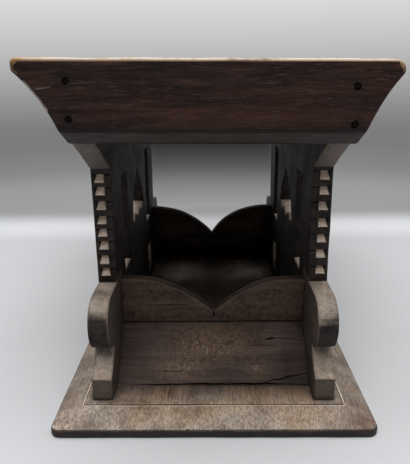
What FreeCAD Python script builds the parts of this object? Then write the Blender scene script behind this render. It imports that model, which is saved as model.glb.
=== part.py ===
"""A long low stool built of boards: two pierced side boards stand on a bevelled base, two boards close each end of the
space between them, and a seat board with a slant-ended apron at each end lies on top."""
import FreeCAD, Part
import math
import os
from FreeCAD import Vector

os.makedirs("parts", exist_ok=True)

# All lengths are in millimetres. X is the width, Y the length with the front end at -Y, Z is up from the floor.

# The whole stool
overall_length = 583.0
seat_height = 350.0

# Base board
base_width = 320.0
base_length = 572.0
base_edge_height = 8.3
base_bevel_rise = 9.4
base_bevel_run = 26.0
base_corner_radius = 9.5
field_corner_radius = 1.0
line_inset = 1.0
line_width = 1.2
line_depth = 0.8

# Side boards, from the base upwards
side_thickness = 20.5
side_gap = 206.5
foot_length = 500.0
foot_height = 23.8
hollow_height = 25.5
hollow_sag = 3.0
nose_length = 500.0
nose_radius = 28.0
waist_length = 375.0
flare_rise = 47.3
shoulder_height = 41.7

# Tenons of the side boards in the base
tenon_length = 70.0
tenon_thickness = 9.0
tenon_depth = 8.0
tenon_offset = 150.0

# Notches down the waist's two edges
left_notches = 8
right_notches = 7
notch_height = 8.7
notch_depth = 6.0
notch_outer_margin = 4.0
notch_inner_margin = 7.0
notch_flank = 1.4
first_notch_share = 0.25
saw_cut_height = 1.4
saw_cut_depth = 1.8

# Openings cut through the side boards
window_width = 112.0
window_height = 67.0
window_sill_rise = 25.0
window_point_depth = 8.0
window_points = 3
window_bulge = 9.0
slot_width = 41.0
slot_offset = 108.5
slot_top_drop = 19.0
slot_shoulder_drop = 5.0
slot_point_depth = 20.0
low_slot_rise = 13.0
low_slot_height = 42.0
eye_radius = 3.5
eye_drop = 7.0

# Boards that close the ends
end_board_thickness = 14.0
end_board_height = 50.5
end_board_setback = 17.5
lobe_radius = 55.0
lobe_angle_deg = 38.2
cusp_depth = 38.5
back_cusp_depth = 44.0
cusp_kerf_width = 1.4
cusp_kerf_depth = 5.0
lower_board_thickness = 13.0
lower_board_run = 55.0
housing_depth = 5.0
housing_clearance = 0.15

# Seat and aprons
seat_thickness = 14.0
seat_inset = 4.0
seat_clearance = 0.2
seat_edge_radius = 3.0
apron_thickness = 15.0
apron_height = 65.5
apron_top_width = 316.0
apron_bottom_width = 240.0
apron_end_sag = 2.4
apron_top_corner_radius = 6.0
apron_toe_radius = 2.0
apron_chamfer = 11.0
apron_arris_radius = 3.0

# Nails
nail_radius = 1.4
nail_length = 42.0
nail_point_length = 8.0
nail_head_radius = 2.5
nail_head_thickness = 1.3
nail_sink = 1.0
nail_clearance = 0.1
left_upper_nail_drop = 16.0
left_lower_nail_drop = 45.5
right_upper_nail_drop = 22.5
right_lower_nail_drop = 51.5
seat_nail_end_margin = 55.0
seat_nails_per_side = 4

# Heights and half lengths that several pieces share
base_top = base_edge_height + base_bevel_rise
foot_top = base_top + foot_height
nose_bottom = foot_top + hollow_height
nose_top = nose_bottom + 2 * nose_radius
seat_top = seat_height
side_top = seat_top - seat_thickness
flare_top = side_top - shoulder_height
waist_top = flare_top - flare_rise
waist_height = waist_top - nose_top
apron_bottom = seat_top - apron_height
top_half = overall_length / 2 - apron_thickness
waist_half = waist_length / 2
nose_half = nose_length / 2
foot_half = foot_length / 2
end_board_face = waist_half - end_board_setback
end_slope = (apron_top_width - apron_bottom_width) / 2 / apron_height
inner_face = side_gap / 2
outer_face = inner_face + side_thickness
side_middle = inner_face + side_thickness / 2
lower_board_height = nose_bottom - base_top
end_board_bottom = nose_bottom
left_nail_heights = [seat_top - left_upper_nail_drop, seat_top - left_lower_nail_drop]
right_nail_heights = [seat_top - right_upper_nail_drop, seat_top - right_lower_nail_drop]
end_board_top = end_board_bottom + end_board_height
lobe_angle = math.radians(lobe_angle_deg)

ORIGIN = Vector(0, 0, 0)
X_AXIS = Vector(1, 0, 0)
Y_AXIS = Vector(0, 1, 0)


def yz(y, z, x=0):
    """A point from its place along the length and its height."""
    return Vector(x, y, z)


def xz(x, z, y=0):
    """A point from its place across the width and its height."""
    return Vector(x, y, z)


def line(start, end):
    return Part.LineSegment(start, end).toShape()


def arc(start, middle, end):
    return Part.Arc(start, middle, end).toShape()


def sagged(start, end, sag, towards):
    """An arc from start to end whose middle lies sag away from the chord, on the side of the given direction."""
    middle = (start + end) * 0.5
    chord = (end - start).normalize()
    across = towards - chord * towards.dot(chord)
    return arc(start, middle + across.normalize() * sag, end)


def face_of(edges):
    """A flat face inside a closed run of edges."""
    return Part.Face(Part.Wire(Part.__sortEdges__(edges)))


def polygon_face(points):
    return Part.Face(Part.makePolygon(points + points[:1]))


def mirrored_pair(shape, normal):
    """The shape and its mirror image across the plane through the origin."""
    return [shape, shape.mirror(ORIGIN, normal)]


def save(shape, node):
    shape.exportStep("parts/" + node + ".step")


# Base board

def rounded_rectangle(half_x, half_y, radius, z):
    """A closed wire of four sides and four round corners, lying flat at the height z."""
    turn = radius * (1 - math.cos(math.pi / 4))
    corners = [(1, 1), (-1, 1), (-1, -1), (1, -1)]
    edges = []
    for i, (sx, sy) in enumerate(corners):
        beside_x = Vector(sx * half_x, sy * (half_y - radius), z)
        beside_y = Vector(sx * (half_x - radius), sy * half_y, z)
        middle = Vector(sx * (half_x - turn), sy * (half_y - turn), z)
        start, end = (beside_x, beside_y) if sx == sy else (beside_y, beside_x)
        edges.append(arc(start, middle, end))
        nx, ny = corners[(i + 1) % 4]
        if nx != sx:
            edges.append(line(end, Vector(nx * (half_x - radius), ny * half_y, z)))
        else:
            edges.append(line(end, Vector(nx * half_x, ny * (half_y - radius), z)))
    return Part.Wire(edges)


def incised_line():
    """The shallow square line cut round the flat field, as the solid to take away."""
    half_x = base_width / 2 - base_bevel_run - line_inset
    half_y = base_length / 2 - base_bevel_run - line_inset
    floor = base_top - line_depth
    outer = Part.makeBox(2 * half_x, 2 * half_y, line_depth, Vector(-half_x, -half_y, floor))
    in_x, in_y = half_x - line_width, half_y - line_width
    inner = Part.makeBox(2 * in_x, 2 * in_y, line_depth, Vector(-in_x, -in_y, floor))
    return outer.cut(inner)


def tenon(y, clearance):
    """One tenon under a side board on the right, or its mortise where the clearance isn't nought."""
    length = tenon_length + 2 * clearance
    thickness = tenon_thickness + 2 * clearance
    depth = tenon_depth + clearance
    corner = Vector(side_middle - thickness / 2, y - length / 2, base_top - depth)
    return Part.makeBox(thickness, length, depth, corner)


def base_board():
    half_x, half_y = base_width / 2, base_length / 2
    bottom = rounded_rectangle(half_x, half_y, base_corner_radius, 0)
    slab = Part.Face(bottom).extrude(Vector(0, 0, base_edge_height))
    rim = rounded_rectangle(half_x, half_y, base_corner_radius, base_edge_height)
    field = rounded_rectangle(half_x - base_bevel_run, half_y - base_bevel_run, field_corner_radius, base_top)
    board = slab.fuse(Part.makeLoft([rim, field], True, True)).removeSplitter()
    mortises = []
    for y in (-tenon_offset, tenon_offset):
        mortises += mirrored_pair(tenon(y, housing_clearance), X_AXIS)
    return board.cut([incised_line()] + mortises)


# Side boards, made on the right with the inner face at side_gap / 2

def side_outline():
    """The side board's outline in the plane of its inner face: half of it, and that half mirrored."""
    nose_centre = nose_half - nose_radius
    points = [yz(0, base_top), yz(-foot_half, base_top), yz(-foot_half, foot_top)]
    edges = [line(points[0], points[1]), line(points[1], points[2])]
    hollow_end = yz(-nose_centre, nose_bottom)
    edges.append(sagged(points[2], hollow_end, hollow_sag, Vector(0, 1, -1)))
    tip = yz(-nose_half, nose_bottom + nose_radius)
    edges.append(arc(hollow_end, tip, yz(-nose_centre, nose_top)))
    upper = [yz(-nose_centre, nose_top), yz(-waist_half, nose_top), yz(-waist_half, waist_top),
             yz(-top_half, flare_top), yz(-top_half, side_top), yz(0, side_top)]
    edges += [line(a, b) for a, b in zip(upper, upper[1:])]
    edges += [edge.mirror(ORIGIN, Y_AXIS) for edge in edges]
    return face_of(edges)


def through(face):
    """A solid that passes through the side board along X from a face drawn in the plane X = 0."""
    face.translate(Vector(inner_face, 0, 0))
    return face.extrude(Vector(side_thickness, 0, 0))


def window():
    """The middle opening: a pointed arch over a sill cut to a row of points."""
    sill = nose_top + window_sill_rise
    crest = sill + window_point_depth
    half = window_width / 2
    step = half / window_points
    sill_points = []
    for i in range(2 * window_points + 1):
        sill_points.append(yz(-half + i * step, sill if i % 2 else crest))
    apex = yz(0, sill + window_height)
    edges = [line(a, b) for a, b in zip(sill_points, sill_points[1:])]
    edges.append(sagged(sill_points[-1], apex, window_bulge, Vector(0, 1, 1)))
    edges.append(sagged(apex, sill_points[0], window_bulge, Vector(0, -1, 1)))
    return through(face_of(edges))


def slot(y):
    """A tall slot beside the window, pointed at its foot."""
    half = slot_width / 2
    top = waist_top - slot_top_drop
    shoulder = nose_top - slot_shoulder_drop
    tip = shoulder - slot_point_depth
    return through(polygon_face([yz(y - half, top), yz(y - half, shoulder), yz(y, tip), yz(y + half, shoulder),
                                 yz(y + half, top)]))


def low_slot(y):
    """A short slot that opens the compartment near the base."""
    half = slot_width / 2
    bottom = base_top + low_slot_rise
    top = bottom + low_slot_height
    return through(polygon_face([yz(y - half, bottom), yz(y + half, bottom), yz(y + half, top), yz(y - half, top)]))


def eye():
    """The small round hole under the window."""
    centre = Vector(inner_face, 0, nose_top - eye_drop)
    return Part.makeCylinder(eye_radius, side_thickness, centre, X_AXIS)


def notch(top):
    """One notch in the front edge of the waist: a chip whose floor slopes out downwards, under a thin saw cut."""
    low_x = inner_face + notch_inner_margin
    high_x = outer_face - notch_outer_margin
    chip = Part.makeWedge(low_x, 0, 0, notch_height, low_x + notch_flank,
                          high_x, notch_depth, notch_height, notch_height, high_x - notch_flank)
    chip.translate(Vector(0, -waist_half, top - notch_height))
    saw_cut = Part.makeBox(side_thickness, saw_cut_depth, saw_cut_height,
                           Vector(inner_face, -waist_half, top - saw_cut_height))
    return chip.fuse(saw_cut)


def notches(count):
    """The notches down both edges of the waist, the first one a share of the spacing under the waist's top."""
    pitch = waist_height / (count + first_notch_share)
    cuts = []
    for i in range(count):
        cuts += mirrored_pair(notch(waist_top - (i + first_notch_share) * pitch), Y_AXIS)
    return cuts


def housing():
    """The bent groove in a side board's inner face that holds an end board above a lower board, at the front."""
    clear = housing_clearance
    depth = housing_depth
    front = -end_board_face - clear
    back = -end_board_face + end_board_thickness + clear
    upright = Part.makeBox(depth, back - front, end_board_height + clear, Vector(inner_face, front, end_board_bottom))
    slope = lower_section(clear)
    slope.translate(Vector(inner_face, 0, 0))
    return [upright, slope.extrude(Vector(depth, 0, 0))]


def side_board(notch_count, nail_heights):
    """A side board, as it stands on the right of the stool."""
    board = through(side_outline())
    tenons = [tenon(y, 0) for y in (-tenon_offset, tenon_offset)]
    board = board.fuse(tenons).removeSplitter()
    cuts = [window(), eye()] + notches(notch_count)
    for y in (-slot_offset, slot_offset):
        cuts += [slot(y), low_slot(y)]
    for groove in housing():
        cuts += mirrored_pair(groove, Y_AXIS)
    for y in (-1, 1):
        for z in nail_heights:
            cuts.append(apron_nail(y, side_middle, z, nail_clearance))
    for y in seat_nail_places():
        cuts.append(seat_nail(side_middle, y, nail_clearance))
    return board.cut(cuts)


# Boards that close the ends, made at the front

def front_end_board():
    """The scalloped board at the front: each lobe is a straight flank from the cusp and a tight crown."""
    arc_run = lobe_radius * math.sin(lobe_angle)
    arc_drop = lobe_radius * (1 - math.cos(lobe_angle))
    line_run = (cusp_depth - arc_drop) / math.tan(lobe_angle)
    half_drop = lobe_radius * (1 - math.cos(lobe_angle / 2))
    half_run = lobe_radius * math.sin(lobe_angle / 2)
    shoulder = arc_run + line_run
    cusp = xz(0, end_board_top - cusp_depth)
    tangent = xz(line_run, end_board_top - arc_drop)
    middle = xz(shoulder - half_run, end_board_top - half_drop)
    crown = xz(shoulder, end_board_top)
    return scalloped_board([line(cusp, tangent), arc(tangent, middle, crown)], cusp, crown)


def back_end_board():
    """The scalloped board at the back: each lobe is one broad arc from the cusp to the side board."""
    radius = (back_cusp_depth ** 2 + inner_face ** 2) / (2 * back_cusp_depth)
    cusp = xz(0, end_board_top - back_cusp_depth)
    rise = math.sqrt(radius ** 2 - (inner_face / 2) ** 2)
    middle = xz(inner_face / 2, end_board_top - radius + rise)
    crown = xz(inner_face, end_board_top)
    return scalloped_board([arc(cusp, middle, crown)], cusp, crown).mirror(ORIGIN, Y_AXIS)


def scalloped_board(lobe, cusp, crown):
    """An upright board at the front end, from the edges of its right lobe between the cusp and the crown."""
    half = inner_face + housing_depth - housing_clearance
    right = lobe + [line(crown, xz(half, end_board_top)), line(xz(half, end_board_top), xz(half, end_board_bottom)),
                    line(xz(half, end_board_bottom), xz(0, end_board_bottom))]
    left = [edge.mirror(ORIGIN, X_AXIS) for edge in right]
    face = face_of(right + left)
    face.translate(Vector(0, -end_board_face, 0))
    board = face.extrude(Vector(0, end_board_thickness, 0))
    kerf_corner = Vector(-cusp_kerf_width / 2, -end_board_face, cusp.z - cusp_kerf_depth)
    kerf = Part.makeBox(cusp_kerf_width, end_board_thickness, 2 * cusp_kerf_depth, kerf_corner)
    return board.cut(kerf)


def lower_section(clearance):
    """The section of the lower board, or of its housing where the clearance isn't nought, in the plane X = 0."""
    level = math.hypot(lower_board_run, lower_board_height) / lower_board_height
    top_front = -end_board_face - clearance * level
    top_back = -end_board_face + lower_board_thickness * level + clearance * level
    return polygon_face([yz(top_front, end_board_bottom), yz(top_front - lower_board_run, base_top),
                         yz(top_back - lower_board_run, base_top), yz(top_back, end_board_bottom)])


def lower_board():
    """The board that slopes out and down from under the end board to the base."""
    half = inner_face + housing_depth - housing_clearance
    section = lower_section(0)
    section.translate(Vector(-half, 0, 0))
    return section.extrude(Vector(2 * half, 0, 0))


# Seat and aprons

def seat_board():
    """The seat: its long edges slant in downwards like the ends of the aprons."""
    top_x = apron_top_width / 2 - seat_inset
    low_x = top_x - seat_thickness * end_slope
    half_y = top_half - seat_clearance
    face = polygon_face([xz(-low_x, side_top, -half_y), xz(low_x, side_top, -half_y), xz(top_x, seat_top, -half_y),
                         xz(-top_x, seat_top, -half_y)])
    board = face.extrude(Vector(0, 2 * half_y, 0))
    rims = [e for e in board.Edges if along(e, Y_AXIS) and level_with(e, seat_top)]
    board = board.makeFillet(seat_edge_radius, rims)
    holes = []
    for y in seat_nail_places():
        holes += mirrored_pair(seat_nail(side_middle, y, nail_clearance), X_AXIS)
    return board.cut(holes)


def along(edge, axis):
    """Whether a straight edge runs along an axis."""
    if edge.Curve.TypeId != "Part::GeomLine":
        return False
    return abs(edge.tangentAt(edge.FirstParameter).dot(axis)) > math.cos(math.radians(1))


def level_with(edge, z):
    return abs(edge.BoundBox.ZMin - z) < nail_clearance and abs(edge.BoundBox.ZMax - z) < nail_clearance


def apron():
    """The slant-ended board across the front end of the seat, chamfered below."""
    low, high = apron_bottom_width / 2, apron_top_width / 2
    face_y = -overall_length / 2
    corners = [xz(-low, apron_bottom, face_y), xz(low, apron_bottom, face_y), xz(high, seat_top, face_y),
               xz(-high, seat_top, face_y)]
    edges = [line(corners[0], corners[1]), sagged(corners[1], corners[2], apron_end_sag, Vector(-1, 0, 1)),
             line(corners[2], corners[3]), sagged(corners[3], corners[0], apron_end_sag, Vector(1, 0, 1))]
    board = face_of(edges).extrude(Vector(0, apron_thickness, 0))
    tops = [e for e in board.Edges if along(e, Y_AXIS) and level_with(e, seat_top)]
    board = board.makeFillet(apron_top_corner_radius, tops)
    toes = [e for e in board.Edges if along(e, Y_AXIS) and level_with(e, apron_bottom)]
    board = board.makeFillet(apron_toe_radius, toes)
    below = polygon_face([yz(face_y, apron_bottom, -high), yz(face_y + apron_chamfer, apron_bottom, -high),
                          yz(face_y, apron_bottom + apron_chamfer, -high)])
    board = board.cut(below.extrude(Vector(2 * high, 0, 0)))
    rims = [e for e in board.Edges if along(e, X_AXIS) and level_with(e, seat_top) and e.BoundBox.YMax < -top_half
            - apron_thickness / 2]
    board = board.makeFillet(apron_arris_radius, rims)
    holes = []
    for side, heights in ((-1, left_nail_heights), (1, right_nail_heights)):
        holes += [apron_nail(-1, side * side_middle, z, nail_clearance) for z in heights]
    return board.cut(holes)


# Nails

def nail(clearance):
    """A nail with its head's top at the origin and its point down, or its hole where the clearance isn't nought.
    The hole runs on upwards from the head by the depth that the head is sunk."""
    shank_length = nail_length - nail_head_thickness - nail_point_length
    rise = nail_sink if clearance else 0
    head_height = nail_head_thickness + rise + clearance
    head = Part.makeCylinder(nail_head_radius + clearance, head_height, Vector(0, 0, -nail_head_thickness - clearance))
    shank_top = Vector(0, 0, -nail_head_thickness - shank_length)
    shank = Part.makeCylinder(nail_radius + clearance, shank_length, shank_top)
    point_end = Vector(0, 0, -nail_length - clearance)
    point = Part.makeCone(clearance, nail_radius + clearance, nail_point_length + clearance, point_end)
    return head.fuse([shank, point]).removeSplitter()


def seat_nail(x, y, clearance):
    """A nail down through the seat."""
    piece = nail(clearance)
    piece.translate(Vector(x, y, seat_top - nail_sink))
    return piece


def apron_nail(end, x, z, clearance):
    """A nail through an apron, at the front where end is -1 and at the back where it is 1."""
    piece = nail(clearance)
    piece.rotate(ORIGIN, X_AXIS, -90 * end)
    piece.translate(Vector(x, end * (overall_length / 2 - nail_sink), z))
    return piece


def seat_nail_places():
    """Where the seat's nails lie along the length."""
    first = top_half - seat_nail_end_margin
    step = 2 * first / (seat_nails_per_side - 1)
    return [-first + i * step for i in range(seat_nails_per_side)]


def apron_nails(end):
    pieces = []
    for side, heights in ((-1, left_nail_heights), (1, right_nail_heights)):
        pieces += [apron_nail(end, side * side_middle, z, 0) for z in heights]
    return Part.Compound(pieces)


def seat_nails(side):
    return Part.Compound([seat_nail(side * side_middle, y, 0) for y in seat_nail_places()])


def main():
    """Makes every piece in its place and saves it."""
    save(base_board(), "base_board")
    save(side_board(left_notches, left_nail_heights).mirror(ORIGIN, X_AXIS), "left_side_board")
    save(side_board(right_notches, right_nail_heights), "right_side_board")
    save(front_end_board(), "front_end_board")
    save(back_end_board(), "back_end_board")
    for shape, name in ((lower_board(), "lower_board"), (apron(), "apron")):
        save(shape, "front_" + name)
        save(shape.mirror(ORIGIN, Y_AXIS), "back_" + name)
    save(seat_board(), "seat_board")
    save(apron_nails(-1), "front_apron_nails")
    save(apron_nails(1), "back_apron_nails")
    save(seat_nails(-1), "left_seat_nails")
    save(seat_nails(1), "right_seat_nails")


main()
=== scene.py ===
"""A long low stool built of boards, as it looks: old dark wood, worn pale at its edges and lit there by
painted highlights, with iron nails.

Lengths are in millimetres until an operator takes them. Places are in the stool's own frame: X runs across
it, Y from its front end to its back end, and Z up from the floor.
"""
import logging
import math
import random
from dataclasses import dataclass
from enum import Enum
from typing import Callable, Sequence

import bmesh
import bpy
from mathutils import Matrix, Vector

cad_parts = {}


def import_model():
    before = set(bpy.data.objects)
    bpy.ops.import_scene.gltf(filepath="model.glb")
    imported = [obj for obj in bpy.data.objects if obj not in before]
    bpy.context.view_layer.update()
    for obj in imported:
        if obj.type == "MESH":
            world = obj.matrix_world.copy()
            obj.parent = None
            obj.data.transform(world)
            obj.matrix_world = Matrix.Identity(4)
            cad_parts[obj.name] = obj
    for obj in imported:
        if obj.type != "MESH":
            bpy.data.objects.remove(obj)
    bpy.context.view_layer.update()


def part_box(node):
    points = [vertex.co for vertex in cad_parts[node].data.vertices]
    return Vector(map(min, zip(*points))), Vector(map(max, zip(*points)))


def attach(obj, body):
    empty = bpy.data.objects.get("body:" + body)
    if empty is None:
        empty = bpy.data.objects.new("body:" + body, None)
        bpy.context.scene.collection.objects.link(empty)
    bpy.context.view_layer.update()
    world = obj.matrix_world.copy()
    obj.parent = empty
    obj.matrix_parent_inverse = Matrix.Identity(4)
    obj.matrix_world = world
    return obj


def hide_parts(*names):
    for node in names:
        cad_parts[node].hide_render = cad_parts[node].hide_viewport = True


LOG = logging.getLogger("stool")
MM = 0.001
NEAR = 1.0
STRAIGHT = 0.9
X_AXIS = Vector((1, 0, 0))
Y_AXIS = Vector((0, 1, 0))
Z_AXIS = Vector((0, 0, 1))
EVEN = Vector((1, 1, 1))
FLAT = Vector((1, 1, 0))
Colour = tuple[float, float, float]
Band = tuple[float, float]
Socket = bpy.types.NodeSocket
FaceTest = Callable[[bmesh.types.BMFace], bool]
EdgeTest = Callable[[bmesh.types.BMEdge], bool]
PlaceTest = Callable[[Vector], bool]


class End(Enum):
    """An end of the stool, by its direction along Y."""

    FRONT = -1
    BACK = 1


class Side(Enum):
    """A side of the stool, by its direction along X."""

    LEFT = -1
    RIGHT = 1


class Grain(Enum):
    """The direction in which a board's fibres run, as an axis number."""

    ACROSS = 0
    LENGTHWISE = 1


class Mark(Enum):
    """What the maker or the years did to a face, and the painted highlights and painted shade that some faces
    take, kept as its material number while the piece is shaped.
    """

    PLAIN = 0
    RUBBED = 1
    TONED = 2
    GRIMED_AND_SHADED = 3
    FADED_AND_HIGHLIT = 4


# Places and outlines

def across(x: float, z: float, y: float = 0.0) -> Vector:
    """A point by its place across the stool and its height."""
    return Vector((x, y, z))


def lengthwise(y: float, z: float, x: float = 0.0) -> Vector:
    """A point by its place along the stool and its height."""
    return Vector((x, y, z))


def upright_rectangle(start: Vector, end: Vector) -> list[Vector]:
    """The corners of a rectangle that stands along the stool, from its lowest to its highest one."""
    corners = ((start.y, start.z), (end.y, start.z), (end.y, end.z), (start.y, end.z))
    return [lengthwise(y, z) for y, z in corners]


def flat_rectangle(start: Vector, end: Vector) -> list[Vector]:
    """The corners of a rectangle on the floor."""
    corners = ((start.x, start.y), (end.x, start.y), (end.x, end.y), (start.x, end.y))
    return [Vector((x, y, 0)) for x, y in corners]


def turned(centre: Vector, start: Vector, axis: Vector, degrees: float, steps: int) -> list[Vector]:
    """Points of a round stretch of an outline.

    Args:
        centre: The middle of the circle.
        start: The point that the stretch starts from, which isn't returned.
        axis: The axis that it turns about.
        degrees: How far it turns.
        steps: How many points it has.

    Returns:
        The points after the start.
    """
    arm = start - centre
    turns = [Matrix.Rotation(math.radians(degrees * (i + 1) / steps), 3, axis) for i in range(steps)]
    return [centre + turn @ arm for turn in turns]


def bowed(start: Vector, end: Vector, bow: float, towards: Vector, steps: int) -> list[Vector]:
    """Points of a slightly curved stretch of an outline.

    Args:
        start: Where it starts, which isn't returned.
        end: Where it ends, which is returned.
        bow: How far its middle lies off the straight line.
        towards: The side on which it lies off.
        steps: How many points it has.

    Returns:
        The points after the start.
    """
    side = (towards - towards.project(end - start)).normalized()
    shares = [(i + 1) / steps for i in range(steps)]
    return [start.lerp(end, t) + side * bow * 4 * t * (1 - t) for t in shares]


def mirrored(points: Sequence[Vector], axis: Vector) -> list[Vector]:
    """The points' mirror image across the plane through the origin, in the opposite order."""
    return [p - 2 * axis * p.dot(axis) for p in reversed(points)]


@dataclass(frozen=True)
class Extent:
    """The lowest and highest corner of a piece of the frame, in millimetres."""

    low: Vector
    high: Vector

    @classmethod
    def of(cls, node: str) -> "Extent":
        """Reads a node's corners from the frame."""
        low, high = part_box(node)
        return cls(low / MM, high / MM)


# The bench

class Workpiece:
    """A piece on the bench: one mesh object and the operators that shape it."""

    def __init__(self, body: bpy.types.Object) -> None:
        """Takes up an object, with a material slot for each kind of mark."""
        self.body = body
        while len(body.data.materials) < len(Mark):
            body.data.materials.append(None)

    @classmethod
    def drawn(cls, name: str, points: Sequence[Vector]) -> "Workpiece":
        """Draws a closed outline from one vertex and fills it.

        Args:
            name: The new piece's name.
            points: The outline's corners in order.

        Returns:
            The flat piece.
        """
        bpy.ops.object.select_all(action="DESELECT")
        bpy.ops.mesh.primitive_plane_add(size=MM, location=points[0] * MM)
        bpy.ops.object.mode_set(mode="EDIT")
        bpy.ops.mesh.select_mode(type="VERT")
        bpy.ops.mesh.merge(type="CENTER")
        for start, end in zip(points, points[1:]):
            bpy.ops.mesh.extrude_vertices_move(TRANSFORM_OT_translate={"value": (end - start) * MM})
        bpy.ops.mesh.select_all(action="SELECT")
        bpy.ops.mesh.edge_face_add()
        bpy.ops.object.mode_set(mode="OBJECT")
        return cls._placed(name)

    @classmethod
    def block(cls, name: str, low: Vector, high: Vector) -> "Workpiece":
        """Adds a block between two corners."""
        bpy.ops.object.select_all(action="DESELECT")
        bpy.ops.mesh.primitive_cube_add(size=1, location=(low + high) / 2 * MM, scale=(high - low) * MM)
        return cls._placed(name)

    @classmethod
    def rod(cls, name: str, place: Vector, axis: Vector, radius: float, end_radius: float, length: float,
            sides: int) -> "Workpiece":
        """Adds a round bar or taper.

        Args:
            name: The new piece's name.
            place: The middle of its first end.
            axis: The direction in which it runs on.
            radius: The radius at the first end.
            end_radius: The radius at the other end.
            length: Its length.
            sides: How many sides it has.

        Returns:
            The bar.
        """
        bpy.ops.object.select_all(action="DESELECT")
        middle = place + axis * length / 2
        turn = Z_AXIS.rotation_difference(axis).to_euler()
        bpy.ops.mesh.primitive_cone_add(vertices=sides, radius1=radius * MM, radius2=end_radius * MM,
                                        depth=length * MM, location=middle * MM, rotation=turn)
        return cls._placed(name)

    @classmethod
    def _placed(cls, name: str) -> "Workpiece":
        """Names the new primitive and puts its place into its mesh."""
        body = bpy.context.object
        body.name = name
        bpy.ops.object.transform_apply(location=True, rotation=True, scale=True)
        return cls(body)

    def copy(self, move: Vector, stretch: Vector) -> "Workpiece":
        """A copy with its own mesh, stretched about the origin and then moved."""
        twin = self.body.copy()
        twin.data = self.body.data.copy()
        bpy.context.collection.objects.link(twin)
        twin.data.transform(Matrix.Translation(move * MM) @ Matrix.Diagonal(stretch).to_4x4())
        return Workpiece(twin)

    def discard(self) -> None:
        """Takes the piece off the bench."""
        bpy.data.objects.remove(self.body)

    def take_up(self) -> None:
        """Makes this the one selected, active object."""
        bpy.ops.object.select_all(action="DESELECT")
        self.body.select_set(True)
        bpy.context.view_layer.objects.active = self.body

    def edit(self) -> None:
        """Opens the mesh for editing, with all of it selected."""
        self.take_up()
        bpy.ops.object.mode_set(mode="EDIT")
        bpy.ops.mesh.select_mode(type="VERT")
        bpy.ops.mesh.select_all(action="SELECT")

    def close(self) -> None:
        """Ends editing."""
        bpy.ops.object.mode_set(mode="OBJECT")

    def turn_out(self) -> None:
        """Turns the faces outwards, while the mesh is open."""
        bpy.ops.mesh.select_all(action="SELECT")
        bpy.ops.mesh.normals_make_consistent(inside=False)

    def pick_faces(self, chosen: FaceTest, mark: Mark | None = None) -> None:
        """Selects the faces that pass a test, while the mesh is open.

        Args:
            chosen: The test.
            mark: The mark that they get, if any.
        """
        bpy.ops.mesh.select_all(action="DESELECT")
        bpy.ops.mesh.select_mode(type="FACE")
        for face in bmesh.from_edit_mesh(self.body.data).faces:
            face.select = chosen(face)
            if face.select and mark:
                face.material_index = mark.value
        bmesh.update_edit_mesh(self.body.data)

    def extrude(self, run: Vector) -> "Workpiece":
        """Gives a flat piece its thickness."""
        self.edit()
        bpy.ops.mesh.extrude_region_move(TRANSFORM_OT_translate={"value": run * MM})
        self.turn_out()
        self.close()
        return self

    def join(self, others: Sequence["Workpiece"]) -> "Workpiece":
        """Takes other pieces into this one's mesh."""
        self.take_up()
        for other in others:
            other.body.select_set(True)
        bpy.ops.object.join()
        return self

    def cut(self, cutters: Sequence["Workpiece"], mark: Mark = Mark.PLAIN) -> "Workpiece":
        """Takes away what the cutters fill, and the cutters with it.

        Args:
            cutters: Solids that don't overlap each other.
            mark: The mark that the cut faces get.

        Returns:
            This piece.
        """
        tool = Workpiece(cutters[0].join(cutters[1:]).body)
        tool.edit()
        tool.turn_out()
        tool.close()
        for face in tool.body.data.polygons:
            face.material_index = mark.value
        self.take_up()
        difference = self.body.modifiers.new("cut", "BOOLEAN")
        difference.object = tool.body
        difference.operation = "DIFFERENCE"
        difference.solver = "EXACT"
        difference.material_mode = "INDEX"
        bpy.ops.object.modifier_apply(modifier=difference.name)
        tool.discard()
        return self

    def round_edges(self, width: float, segments: int = 2, mark: Mark = Mark.RUBBED,
                    chosen: EdgeTest = lambda edge: True) -> "Workpiece":
        """Rounds sharp outer edges.

        Args:
            width: How far the rounding reaches on each side of an edge.
            segments: How many faces it has across.
            mark: The mark that the rounding gets.
            chosen: A test for the edges, besides that they are sharp and stand out.

        Returns:
            This piece.
        """
        self.edit()
        bpy.ops.mesh.select_all(action="DESELECT")
        bpy.ops.mesh.select_mode(type="EDGE")
        mesh, picked = bmesh.from_edit_mesh(self.body.data), 0
        for edge in mesh.edges:
            edge.select = is_arris(edge) and chosen(edge)
            picked += edge.select
        bmesh.update_edit_mesh(self.body.data)
        if picked:
            bpy.ops.mesh.bevel(offset=width * MM, segments=segments, affect="EDGES", clamp_overlap=False,
                               material=mark.value)
        self.close()
        return self

    def slice(self, pitch: Sequence[float]) -> "Workpiece":
        """Divides the faces by flat cuts, so that the piece can bend and wear.

        Args:
            pitch: The distance between the cuts along each axis, or nought for none.

        Returns:
            This piece.
        """
        corners = [vertex.co / MM for vertex in self.body.data.vertices]
        self.edit()
        for axis, step in zip((X_AXIS, Y_AXIS, Z_AXIS), pitch):
            reach = [corner.dot(axis) for corner in corners]
            low, high = min(reach), max(reach)
            count = round((high - low) / step) if step else 0
            for i in range(1, count):
                bpy.ops.mesh.select_all(action="SELECT")
                place = axis * (low + (high - low) * i / count)
                bpy.ops.mesh.bisect(plane_co=place * MM, plane_no=axis)
        self.close()
        return self

    def warp(self, depth: float, size: float) -> "Workpiece":
        """Moves the surface in and out a little, as hand work and years do.

        Args:
            depth: The whole range of the movement.
            size: How far apart its hills are.

        Returns:
            This piece.
        """
        clouds = bpy.data.textures.new("warp", "CLOUDS")
        clouds.noise_scale = size * MM
        clouds.noise_depth = 1
        self.take_up()
        displace = self.body.modifiers.new("warp", "DISPLACE")
        displace.texture = clouds
        displace.texture_coords = "GLOBAL"
        displace.strength = depth * MM
        bpy.ops.object.modifier_apply(modifier=displace.name)
        return self

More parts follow.
